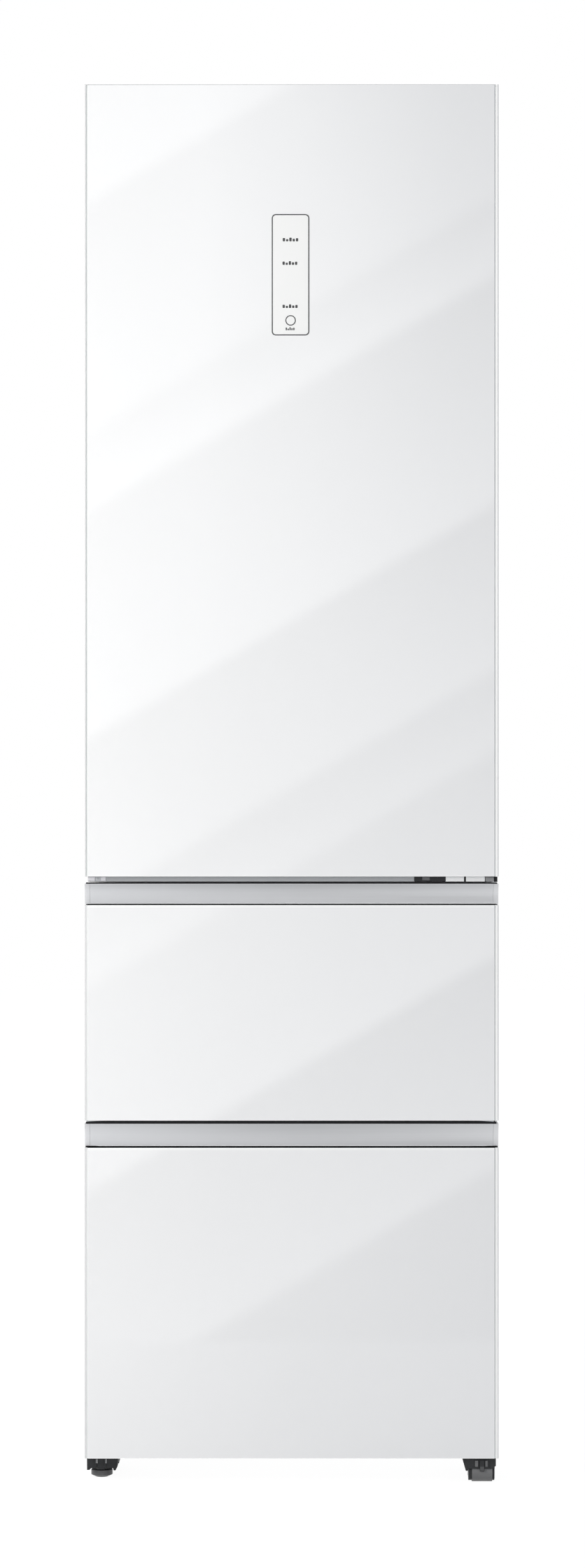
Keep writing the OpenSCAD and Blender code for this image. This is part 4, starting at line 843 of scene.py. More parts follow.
@dataclass
class GlassFront:
    """Glass, edge trims and seal of the door or of one drawer."""

    stem: str
    body: str
    polish: float = 0.7
    right_gap: float = 1.6
    trim_lip: float = 1.9
    trim_rounds: Flat = (0.45, 0.3)
    channel: float = 0.5
    groove: float = 0.7
    groove_d: float = 0.3
    play: float = 0.05
    face_lean: float = 0.55
    outer_round: float = 1.7
    round_steps: int = 6
    film: float = 0.04
    line_d: float = 0.4
    line_inset: float = 0.8
    # Painted highlight strips: heights from the pane's bottom where positive, from its top where negative.
    edge_lines: tuple[Flat, ...] = ((0.1, 1.0), (-3.3, -2.3), (-1.3, -0.3))
    foot_share: float = 0.33
    bulb_share: float = 0.45
    seal_foot_w: float = 14.0
    bellows_inset: float = 3.2
    bulb_inset: float = 2.0
    glass_lo: Vector = field(init=False)
    glass_hi: Vector = field(init=False)
    pane_end: float = field(init=False)

    def build(self) -> None:
        """Makes the front's pieces."""
        self.glass_lo, self.glass_hi = span(f"{self.stem}_glass")
        self.pane_end = self.glass_hi.x - self.right_gap
        self.glass()
        self.lines()
        self.trims()
        self.seal()

    def glass(self) -> None:
        """The pane, polished along its edges; it ends short of the right trim by a fine groove."""
        pane = Form.slab(self.glass_lo, (self.pane_end, *self.glass_hi.yz)).soften(self.polish, 3)
        pane.settle(f"{self.stem}_pane", FRONT_GLASS, self.body, f"{self.stem}_glass")

    def lines(self) -> None:
        """Painted highlights: bright strips along the pane's lower and upper edge, standing for the light that its
        polish catches.
        """
        lo, hi = self.glass_lo, self.glass_hi
        form = Form()
        for low, high in self.edge_lines:
            base = lo.z if low > 0 else hi.z
            form.add(Form.slab((lo.x + self.line_inset, lo.y - self.film, base + low),
                               (self.pane_end - self.line_inset, lo.y + self.line_d, base + high)))
        form.settle(f"{self.stem}_edge_lines", EDGE_PAINTED_HIGHLIGHT, self.body, f"{self.stem}_glass")

    def left_outline(self, lo: Vector, hi: Vector) -> list[Flat]:
        """Outline of the left trim: a lip and a channel beside the glass.

        Args:
            lo: Lowest corner of the trims' node.
            hi: Its highest corner.

        Returns:
            Points in the X-Y plane.
        """
        edge = self.glass_lo.x
        return [(lo.x, hi.y), (lo.x, lo.y), (lo.x + self.trim_lip, lo.y), (lo.x + self.trim_lip, lo.y + self.channel),
                (edge, lo.y + self.channel), (edge, hi.y)]

    def right_outline(self, lo: Vector, hi: Vector) -> list[Flat]:
        """Outline of the right trim: a broad leaning lip in front of the core's edge.

        Args:
            lo: Lowest corner of the trims' node.
            hi: Its highest corner.

        Returns:
            Points in the X-Y plane.
        """
        core = self.glass_hi
        edge = self.pane_end + self.play
        inner = edge + self.groove
        crest = hi.x - self.outer_round
        rounding = [(crest + self.outer_round * math.sin(turn), lo.y + self.outer_round * (1 - math.cos(turn)))
                    for turn in (math.pi / 2 * k / self.round_steps for k in range(self.round_steps, 0, -1))]
        floor, seat = lo.y + self.face_lean + self.groove_d, core.y - 2 * self.play
        return [(hi.x, hi.y), *rounding, (crest, lo.y), (inner, lo.y + self.face_lean), (inner, floor), (edge, floor),
                (edge, seat), (core.x, seat), (core.x, hi.y)]

    def trims(self) -> None:
        """The upright trims at both edges."""
        lo, hi = span(f"{self.stem}_trims")
        left_round, right_round = self.trim_rounds
        # The left trim takes the darker white, as painted shade.
        left = Form.prism(self.left_outline(lo, hi), Axis.Z, lo.z, hi.z).soften(left_round)
        left.settle(f"{self.stem}_left_trim", TRIM_PAINTED_SHADE, self.body, f"{self.stem}_trims")
        right = Form()
        for outline, low, high in self.right_parts(lo, hi):
            right.add(Form.prism(outline, Axis.Z, low, high).soften(right_round))
        right.settle(f"{self.stem}_right_trim", TRIM_WHITE, self.body, f"{self.stem}_trims")

    def right_parts(self, lo: Vector, hi: Vector) -> list[tuple[list[Flat], float, float]]:
        """Outlines of the right trim with the heights between which each runs."""
        return [(self.right_outline(lo, hi), lo.z, hi.z)]

    def seal(self) -> None:
        """The magnetic seal: foot, folded bellows and magnet bulb."""
        lo, hi = span(f"{self.stem}_gasket")
        foot = lo.y + (hi.y - lo.y) * self.foot_share
        bulb = foot + (hi.y - foot) * self.bulb_share
        form = Form()
        for start, end, inset, radius, steps in (
                (lo.y, foot, 0.0, 1.0, 2), (foot - 0.2, bulb + 0.3, self.bellows_inset, 0.8, 2),
                (bulb, hi.y, self.bulb_inset, 2.2, 3)):
            form.add(Form.ring((lo.x + inset, start, lo.z + inset), (hi.x - inset, end, hi.z - inset),
                               self.seal_foot_w - 2 * inset).soften(radius, steps))
        form.settle(f"{self.stem}_seal", RUBBER, self.body, f"{self.stem}_gasket")


@dataclass
class DoorFront(GlassFront):
    """The door's front, whose right trim leaves room for the top hinge."""

    channel: float = 1.3
    edge_lines: tuple[Flat, ...] = ((0.1, 1.0),)
    top_line: Flat = (1.15, 0.3)
    top_line_d: float = 1.2
    pocket_front: float = -328.0
    pocket: Flat = (1984.4, 2007.0)
    pocket_lap: float = 0.5

    def lines(self) -> None:
        """The painted highlight along the lower edge, and a grey strip of painted shade along the upper edge that
        thins to the right.
        """
        super().lines()
        lo, hi, (tall, low) = self.glass_lo, self.glass_hi, self.top_line
        wedge = [(lo.x, hi.z), (lo.x, hi.z - tall), (self.pane_end, hi.z - low), (self.pane_end, hi.z)]
        Form.prism(wedge, Axis.Y, lo.y - self.film, lo.y + self.top_line_d).settle(
            "door_top_line", EDGE_PAINTED_SHADE, self.body, "door_glass")

    def right_parts(self, lo: Vector, hi: Vector) -> list[tuple[list[Flat], float, float]]:
        """The full outline below and above the hinge's pocket, and its front part in between.

        Args:
            lo: Lowest corner of the trims' node.
            hi: Its highest corner.

        Returns:
            Each outline with its lower and upper end.
        """
        full = self.right_outline(lo, hi)
        short = [(a, min(b, self.pocket_front)) for a, b in full]
        low, high = self.pocket
        return [(full, lo.z, low), (short, low - self.pocket_lap, high + self.pocket_lap), (full, high, hi.z)]


@dataclass
class GripBand:
    """The recessed silver channel across the top of a drawer."""

    stem: str
    body: str
    wall: float = 1.6
    line: float = 1.3
    lip: float = 0.45
    hollow: float = 3.0
    pocket_w: float = 8.5
    arc_steps: int = 14
    cap_l: float = 7.4
    cap_seam: float = 0.05
    rolled: Flat = (0.9, 1.7)
    roll_inset: float = 1.2
    lining_inset: float = 2.0
    insert_l: float = 20.0
    insert_h: float = 0.0
    insert_ramp: float = 9.0
    insert_y: Flat = (2.4, 1.2)
    lining: float = 0.45
    strip: float = 0.25
    strip_l: float = 32.0
    shade_up: float = 1.9
    shade_y: Flat = (3.2, 8.0)
    shade_x: Flat = (-295.7, 295.7)
    lo: Vector = field(init=False)
    hi: Vector = field(init=False)
    glass: Vector = field(init=False)
    low_z: float = field(init=False)
    low_y: float = field(init=False)

    def build(self) -> None:
        """Makes the band, its end caps, and the pocket's lining and dark pieces above and below, which paint shade."""
        self.lo, self.hi = span(f"{self.stem}_grip")
        _, self.glass = span(f"{self.stem}_glass")
        self.low_z, self.low_y = self.glass.z + self.line, self.glass.y + self.pocket_w
        self.band()
        self.shade()
        self.seams()

    def band(self) -> None:
        """The hollow band, its end caps and a painted highlight along its foot: a pale strip standing for the light on
        its lower edge.
        """
        hi, node = self.hi, f"{self.stem}_grip"
        end = hi.x - self.cap_l
        section = self.section()
        Form.prism(section, Axis.X, -end, end).soften(0.2, 2, 50).settle(f"{node}_band", GRIP, self.body, node)
        face = [point for point in section if point[1] >= self.low_z]
        cap = Form.prism(face, Axis.X, end + self.cap_seam, hi.x).soften(0.35, 3, 50)
        cap.mirrored().settle(f"{node}_ends", GRIP_END, self.body, node)
        # Painted highlight: a pale strip along the band's foot.
        out, up = self.rolled
        reach = hi.x - self.roll_inset
        painted_highlight = Form().block((-reach, self.low_y - out, self.low_z - 0.05), (reach, self.low_y + 0.4, self.low_z + up),
                            0.6, 3, Axis.X)
        painted_highlight.settle(f"{node}_roll", GRIP_PAINTED_HIGHLIGHT, self.body, node)

    def section(self) -> list[Flat]:
        """Cross-section of the band, from the lip down its hollow face to the finger pocket.

        Returns:
            Points in the Y-Z plane.
        """
        lo, hi, glass = self.lo, self.hi, self.glass
        face = self.hollowed((lo.y, hi.z - self.lip), (self.low_y, self.low_z))
        return [(lo.y, hi.z), *face, (self.low_y, lo.z + self.wall), (glass.y, lo.z + self.wall), (glass.y, lo.z),
                (hi.y, lo.z), (hi.y, self.low_z), (hi.y, hi.z)]

    def hollowed(self, top: Flat, foot: Flat) -> list[Flat]:
        """Points of the shallow arc that sinks by the hollow between two points.

        Args:
            top: Upper point in the Y-Z plane.
            foot: Lower point.

        Returns:
            Points from the upper to the lower one.
        """
        dy, dz = foot[0] - top[0], foot[1] - top[1]
        chord = math.hypot(dy, dz)
        points: list[Flat] = []
        for k in range(self.arc_steps + 1):
            part = k / self.arc_steps
            sink = 4 * self.hollow * part * (1 - part)
            points.append((top[0] + dy * part - dz / chord * sink, top[1] + dz * part + dy / chord * sink))
        return points

    def seams(self) -> None:
        """Painted shade in black: the lining of the pocket, its raised ends if asked, and the strip above the band."""
        lo, hi, glass, low_z = self.lo, self.hi, self.glass, self.low_z
        floor, end, t = lo.z + self.wall, hi.x - self.lining_inset, self.lining
        back, front = self.low_y, glass.y
        lining = [(front, glass.z - 1), (front, floor), (back, floor), (back, low_z + t / 2),
                  (back - t, low_z + t / 2), (back - t, floor + t), (front + t, floor + t), (front + t, glass.z - 1)]
        form = Form.prism(lining, Axis.X, -end, end)
        if self.insert_h:
            start, top = glass.x - self.insert_l, low_z + self.insert_h
            wedge = [(start, low_z - 0.3), (start + self.insert_ramp, top - 0.3), (hi.x - 2.2, top),
                     (hi.x - 0.8, top - 0.8),
                     (hi.x - 0.8, glass.z + 0.2), (start, glass.z + 0.2)]
            near, far = self.insert_y
            form.add(Form.prism(wedge, Axis.Y, back - near, back - far).soften(0.2, 1).mirrored())
        left, right = self.shade_x
        form.block((left, lo.y + 1.2, hi.z - 0.8), (right, hi.y + self.strip_l, hi.z + self.strip), 0.2, 1)
        form.settle(f"{self.stem}_grip_seams", PAINTED_SHADE_BLACK, self.body)

    def shade(self) -> None:
        """A dark lip standing in the gap over the band, which paints the gap's shade."""
        (left, right), (near, far) = self.shade_x, self.shade_y
        shade = Form().block((left, self.lo.y + near, self.hi.z - 0.5),
                             (right, self.lo.y + far, self.hi.z + self.shade_up), 0.4)
        shade.settle(f"{self.stem}_gap_shade", DARK_AND_PAINTED_SHADE, self.body)


@dataclass
class TouchPanel:
    """The touch field: a film with an outline, four printed marks and a round key."""

    body: str = "door"
    line: float = 1.55
    corner: float = 6.0
    film_back: float = 0.15
    ring_centre: Flat = (-1.5, 1670.9)
    ring_r: float = 7.5
    ring_w: float = 1.4
    marks: tuple[Strip, ...] = ((-12.8, 10.8, 1784.4, 5.4), (-13.1, 9.3, 1750.6, 5.4), (-13.0, 9.8, 1688.7, 5.2),
                                (-8.6, 4.9, 1656.8, 4.2))
    strokes: tuple[float, ...] = (0.9, 0.6, 1.0, 0.7, 0.85)
    stroke_share: float = 0.72
    stroke_round: float = 0.22

    def build(self) -> None:
        """Makes the film, its print and the display module behind the glass."""
        node = "control_panel"
        lo, hi = span(node)
        glass_lo, glass_hi = span("door_glass")
        print_y = lo.y + self.film_back
        film = Form().block((lo.x, print_y, lo.z), (hi.x, glass_lo.y, hi.z), self.corner, 6, Axis.Y)
        film.settle("touch_film_sheet", TOUCH_FILM, self.body, node)
        marks = self.outline(lo, hi, print_y).add(self.key(lo.y, print_y))
        for x0, x1, z, h in self.marks:
            pitch = (x1 - x0) / len(self.strokes)
            for k, share in enumerate(self.strokes):
                left = x0 + k * pitch
                marks.block((left, lo.y, z), (left + pitch * self.stroke_share, print_y, z + h * share),
                            pitch * self.stroke_round, 3, Axis.Y)
        marks.settle("touch_marks", PRINT_GREY, self.body, node)
        module = Form().block((lo.x + 1, glass_hi.y, lo.z + 1), (hi.x - 1, hi.y, hi.z - 1), 1.5)
        module.settle("touch_module", BLACK_PLASTIC, self.body, node)

    def outline(self, lo: Vector, hi: Vector, back: float) -> Form:
        """The rounded line round the field.

        Args:
            lo: Lowest corner of the panel's node.
            hi: Its highest corner.
            back: How deep the line reaches.

        Returns:
            The closed line.
        """
        form = Form.ring(lo, (hi.x, back, hi.z), self.line)
        half_w, middle = (hi.x - lo.x) / 2, (lo.x + hi.x) / 2
        edges = [(edge, all(abs(abs(vert.co.x - middle) - half_w) < 0.01 for vert in edge.verts))
                 for edge in form.bm.edges if abs((edge.verts[1].co - edge.verts[0].co).normalized().y) > 0.99]
        for wanted, radius in ((True, self.corner), (False, self.corner - self.line)):
            form.bevel([edge for edge, outside in edges if outside is wanted and edge.is_valid], radius, 8, False)
        return form

    def key(self, front: float, back: float) -> Form:
        """The round key's ring.

        Args:
            front: Its front.
            back: Its back.

        Returns:
            The closed ring.
        """
        inner = self.ring_r - self.ring_w
        loop = [(inner, front), (self.ring_r, front), (self.ring_r, back), (inner, back), (inner, front)]
        x, z = self.ring_centre
        return Form.turned(loop, (x, 0.0, z), Axis.Y, 48)


@dataclass
class DoorFoot:
    """The door's bottom edge below the glass: channel, end blocks and closer."""

    body: str = "door"
    lip: float = 0.55
    lip_l: float = 5.0
    setback: float = 1.5
    end_black: Triple = (291.0, 296.0, 864.3)
    bar_l: float = 13.6
    block_d: float = 2.0
    mark_r: float = 1.6
    mark_d: float = 1.6
    mark_x: float = -278.6
    mark_up: float = 4.2
    end_blocks: tuple[tuple[float, float, float, Finish], ...] = (
        (-293.0, -282.7, 0.9, PALE_GREY), (-282.4, -274.4, 0.5, MID_GREY), (-274.4, -267.3, 0.7, PALE_GREY))
    # The separator between the white housings is black, as painted shade.
    closer_blocks: tuple[tuple[float, float, float, Finish], ...] = (
        (0.0, 45.0, 0.5, DARK_AND_PAINTED_SHADE), (45.3, 71.7, 0.0, CLOSER_WHITE), (71.7, 74.4, 1.2, PAINTED_SHADE_BLACK),
        (74.4, 101.6, 0.0, CLOSER_WHITE), (102.1, 114.7, 1.0, CLOSER_END))
    cam: Flat = (11.6, 22.4)

    def build(self) -> None:
        """Makes the pieces that show in the gap under the door."""
        round_off(("door_bottom_cap", GREY_PLASTIC, 0.3))
        lo, hi = span("door_bottom_cap")
        front = span("door_closer")[0].y + self.setback
        top = span("door_glass")[0].z - 0.3
        for k, (x0, x1, proud, finish) in enumerate(self.end_blocks):
            block = Form().block((x0, front - proud, lo.z + 0.3), (x1, front + self.block_d, top), 0.5)
            block.settle(f"door_end_block_{k + 1}", finish, self.body)
        disc = [(0.0, 0.0), (self.mark_r, 0.0), (self.mark_r, self.mark_d), (0.0, self.mark_d)]
        Form.turned(disc, (self.mark_x, front - 1.0, lo.z + self.mark_up), Axis.Y, 20).settle(
            "door_end_mark", GREY_PLASTIC, self.body)
        lip = Form().block((lo.x + 1, front + 0.6, lo.z - self.lip), (hi.x - 2.8, front + self.lip_l, lo.z + 0.5),
                           0.2, 1)
        lip.settle("door_bottom_lip", GREY_PLASTIC, self.body)
        # Painted shade: a black block at the right end of the gap under the door, and a black bar beside it under the
        # glass.
        x0, x1, z0 = self.end_black
        shade_strip = Form().block((x0, front - 1.0, z0), (x1, front + self.block_d, top), 0.4)
        shade_strip.block((x0 - self.bar_l, front - 2.1, top - 0.8), (x1, front + self.block_d, top), 0.2, 1)
        shade_strip.settle("door_bottom_seam", PAINTED_SHADE_BLACK, self.body)
        self.closer()

    def closer(self) -> None:
        """The closer's blocks: dark cam, white housing with a black separator that paints the shade between its
        halves, grey end.
        """
        lo, hi = span("door_closer")
        for k, (x0, x1, back, finish) in enumerate(self.closer_blocks):
            block = Form().block((lo.x + x0, lo.y + back, lo.z - self.lip), (lo.x + x1, hi.y, hi.z), 0.45)
            block.settle(f"door_closer_block_{k + 1}", finish, self.body, "door_closer")
        x0, x1 = self.cam
        patch = Form().block((lo.x + x0, lo.y + 0.1, lo.z + 1.2), (lo.x + x1, lo.y + 2.0, hi.z - 1.0), 0.4)
        patch.settle("door_closer_cam", CAM_GREY, self.body, "door_closer")


@dataclass
class DoorInside:
    """Moulded inner panel of the door with its three lift-off bins."""

    dike_round: float = 5.0
    bin_wall: float = 2.4
    bin_corner: float = 9.0
    bin_lip: float = 3.0
    hook_w: float = 6.0
    hook_y: Flat = (-251.0, -215.0)
    hook_z: Flat = (56.3, 62.0)
    rim: Flat = (6.0, 9.0)
    band_inset: float = 14.0
    band_z: Flat = (16.0, 19.0)
    ribs: int = 7
    rib_inset: float = 40.0
    rib_hw: float = 1.0
    rib_z: Flat = (1.8, 4.2)

    def build(self) -> None:
        """Makes the door's inner pieces, with each kind of the panel's edges rounded as moulding does."""
        round_off(("door_core", FRONT_BODY, 0.4))
        round_off(("door_top_cap", TRIM_WHITE, 0.7), steps=3)
        inside = span("door_liner")[1].y - 1.0
        panel = Form.copy_of("door_liner").soften(self.dike_round, 4, where=lambda at: at.y > inside)
        panel.soften(1.2, 3).finished("door_liner", LINER)
        for name in ("low", "mid", "top"):
            self.bin(f"door_bin_{name}")

    def bin(self, node: str) -> None:
        """One bin: a tub with a turned rim, a stiffening band, ribs and its two hooks.

        Args:
            node: The bin's node.
        """
        lo, hi = span(node)
        left, right, face = lo.x + self.hook_w, hi.x - self.hook_w, hi.y - self.bin_lip
        form = Form.tub((left, *lo.yz), (right, face, hi.z), Mouth.TOP, self.bin_wall, self.bin_corner, draft=2.0)
        form.soften(0.5, 2, 50)
        inset, rim_h = self.rim
        form.block((left + inset, face - 0.6, hi.z - rim_h), (right - inset, hi.y, hi.z), 1.4, 3)
        inset, (low, high) = self.band_inset, self.band_z
        form.block((left + inset, face - 1.9, lo.z + low), (right - inset, face + 0.7, lo.z + high), 0.8)
        low, high = self.rib_z
        for k in range(self.ribs):
            x = left + self.rib_inset + k * (right - left - 2 * self.rib_inset) / (self.ribs - 1)
            form.block((x - self.rib_hw, lo.y + 12, lo.z + low), (x + self.rib_hw, hi.y - 16, lo.z + high), 0.6)
        (y0, y1), (z0, z1) = self.hook_y, self.hook_z
        for side in (-1, 1):
            a, b = sorted((side * (right - 0.5), side * hi.x))
            form.block((a, y0, lo.z + z0), (b, y1, lo.z + z1), 0.7)
        form.finished(node, CLEAR)


@dataclass
class DrawerInside:
    """Body, basket and slides behind a drawer's glass."""

    stem: str
    body: str
    wall: float = 2.8
    corner: float = 16.0
    rib_pitch: float = 46.0
    rib_start: float = 32.0
    rib_t: float = 4.0
    rim_h: float = 12.0
    back_rim_inset: float = 22.0
    hole_x: Flat = (-90.0, 90.0)
    hole_hw: float = 34.0
    hole_z: Flat = (42.0, 26.0)
    hole_frame: float = 2.4
    end_wedges: tuple[Triple, ...] = ()

    def build(self) -> None:
        """Makes the drawer's inner pieces."""
        round_off((f"{self.stem}_core", FRONT_BODY, 0.4))
        if self.end_wedges:
            self.wedges()
        round_off((f"{self.stem}_rails", ZINC, 0.3), (f"{self.stem}_sliders", ZINC, 0.3))
        self.basket(f"{self.stem}_basket")

    def wedges(self) -> None:
        """Grey end pieces under the glass that narrow the gap below it towards the edges."""
        lo, _ = span(f"{self.stem}_glass")
        form = Form()
        for outer, inner, drop in self.end_wedges:
            outline = [(outer, lo.z + 0.3), (outer, lo.z - drop), (inner, lo.z - 0.1), (inner, lo.z + 0.3)]
            form.add(Form.prism(outline, Axis.Y, lo.y + 2.4, lo.y + 4.3))
        form.settle(f"{self.stem}_end_wedges", GREY_PLASTIC, self.body)

    def basket(self, node: str) -> None:
        """The basket: a drafted tub with a turned rim, side ribs, a back rim and two grip frames.

        Args:
            node: The basket's node.
        """
        lo, hi = span(node)
        form = Form.tub((lo.x + 2.5, lo.y, lo.z), (hi.x - 2.5, hi.y - 2.0, hi.z), Mouth.TOP, self.wall, self.corner, 6,
                        draft=1.0).soften(0.6, 2, 50)
        count = int((hi.y - lo.y - 60) // self.rib_pitch)
        for side in (-1, 1):
            a, b = sorted((side * (hi.x - 3.2), side * hi.x))
            form.block((a, lo.y + 10, hi.z - self.rim_h), (b, hi.y - 14, hi.z), 1.2, 3)
            for k in range(count + 1):
                y = lo.y + self.rib_start + k * self.rib_pitch
                form.block((a + 0.4, y, lo.z + 22), (b - 1.0 if side > 0 else b, y + self.rib_t, hi.z - 10), 0.8)
        inset, (low, high) = self.back_rim_inset, self.hole_z
        form.block((lo.x + inset, hi.y - 2.6, hi.z - self.rim_h), (hi.x - inset, hi.y, hi.z), 0.9)
        for x in self.hole_x:
            form.add(Form.ring((x - self.hole_hw, hi.y - 5.6, hi.z - low), (x + self.hole_hw, hi.y - 0.4, hi.z - high),
                               self.hole_frame).soften(0.8))
        form.finished(node, CLEAR)


# Cabinet


@dataclass
class Cabinet:
    """Outer cabinet: shell, back, rails, hinges and covers."""

    body: str = "cabinet"
    fold_r: float = 2.4
    bead_w: float = 9.0
    bead_h: float = 2.2
    bead_x: Triple = (-200.0, 0.0, 200.0)
    bead_hw: float = 240.0
    bead_ends: Flat = (130.0, 210.0)
    cross_beads: Flat = (70.0, 60.0)
    sheet_t: float = 0.8
    plugs: tuple[Flat, ...] = ((-110.0, 1500.0), (110.0, 700.0))
    head_size: Flat = (4.0, 2.4)
    small_head: Flat = (3.2, 2.0)
    plug_profile: tuple[Flat, ...] = ((0.0, 0.0), (15.0, 0.0), (15.0, 1.6), (13.6, 2.8), (5.0, 3.2), (4.0, 2.4),
                                      (0.0, 2.4))

    def build(self) -> None:
        """Makes the cabinet's outer pieces."""
        self.shell()
        self.back()
        keep(("cabinet_foam", FOAM), ("base_pan", ZINC))
        round_off(("front_rails", WHITE_STEEL, 0.35), ("top_hinge", ZINC, 0.5), ("middle_hinge", ZINC, 0.4))
        keep(("control_board", BOARD))
        self.cover()
        self.screws()

    def shell(self) -> None:
        """The folded steel shell, with rounded folds."""
        lo, hi = span("cabinet_shell")

        def at_fold(at: Vector) -> bool:
            """Whether a point lies on an outer fold."""
            return abs(abs(at.x) - hi.x) < 0.05 and (abs(at.z - hi.z) < 0.05 or abs(at.y - lo.y) < 0.05)

        shell = Form.copy_of("cabinet_shell").soften(self.fold_r, 4, where=at_fold)
        shell.soften(0.25, 2, 50).finished("cabinet_shell", WHITE_STEEL)

    def back(self) -> None:
        """The back panel with its pressed beads, and the foaming plugs."""
        lo, hi = span("back_panel")
        sheet = lo.y + self.sheet_t
        form = Form.copy_of("back_panel").soften(0.6, 2)
        (low, high), (foot, head) = self.bead_ends, self.cross_beads
        for x in self.bead_x:
            form.add(self.bead((x - self.bead_w / 2, x + self.bead_w / 2), (lo.z + low, hi.z - high), sheet))
        for z in (lo.z + foot, hi.z - head):
            form.add(self.bead((-self.bead_hw, self.bead_hw), (z, z + self.bead_w), sheet))
        form.finished("back_panel", BACK_STEEL)
        for k, (x, z) in enumerate(self.plugs):
            plug = Form.turned(self.plug_profile, (x, sheet - 0.3, z), Axis.Y, 36)
            plug.settle(f"foaming_plug_{k + 1}", WHITE_PLASTIC, self.body)

    def bead(self, xs: Flat, zs: Flat, sheet: float) -> Form:
        """One pressed bead standing proud of the sheet."""
        form = Form.slab((xs[0], sheet - 0.5, zs[0]), (xs[1], sheet + self.bead_h, zs[1]))
        return form.soften(self.bead_w * 0.45, 5, axis=Axis.Y).soften(1.6, 3, where=lambda at: at.y > sheet + 1.0)

    def cover(self) -> None:
        """The cover over hinge and board, with soft upper edges."""
        top = span("top_cover")[1].z
        cover = Form.copy_of("top_cover").soften(3.0, 4, where=lambda at: at.z > top - 0.05)
        cover.soften(0.5, 2, 50).finished("top_cover", WHITE_PLASTIC)

    def screws(self) -> None:
        """Every screw head: at the top hinge, machine cover, evaporator cover and middle hinge, in this order."""
        hinge_top = span("top_hinge")[1].z
        full, small = self.head_size, self.small_head
        rows = [(Axis.Z, 1, full, [(x, y, hinge_top) for x in (225.5, 255.5) for y in (-244.0, -204.0)]),
                (Axis.Y, 1, full, [(x, 322.0, z) for x in (-284.5, 0.0, 284.5) for z in (54.0, 240.0)]),
                (Axis.Y, -1, full, [(x, 201.0, z) for x in (-231.5, 231.5) for z in (335.0, 819.7)]),
                (Axis.Y, -1, small, [(x, -265.0, 863.45) for x in (246.0, 262.0)])]
        heads = Form()
        for axis, side, size, places in rows:
            for at in places:
                heads.add(self.head(at, axis, side, size))
        heads.settle("screw_heads", ZINC, self.body, "screws")

    def head(self, at: Corner, axis: Axis, side: int, size: Flat) -> Form:
        """One domed head with a socket.

        Args:
            at: The point that it is seated on.
            axis: The screw's direction.
            side: The way that the head stands out, 1 or -1.
            size: Its radius and height.

        Returns:
            The closed head.
        """
        r, h = size
        profile = [(0.0, 0.0), (r, 0.0), (r, h * 0.45), (r * 0.86, h * 0.8), (r * 0.6, h), (r * 0.36, h),
                   (r * 0.36, h * 0.45), (0.0, h * 0.45)]
        return Form.turned([(a, side * b) for a, b in profile], at, axis, 18)


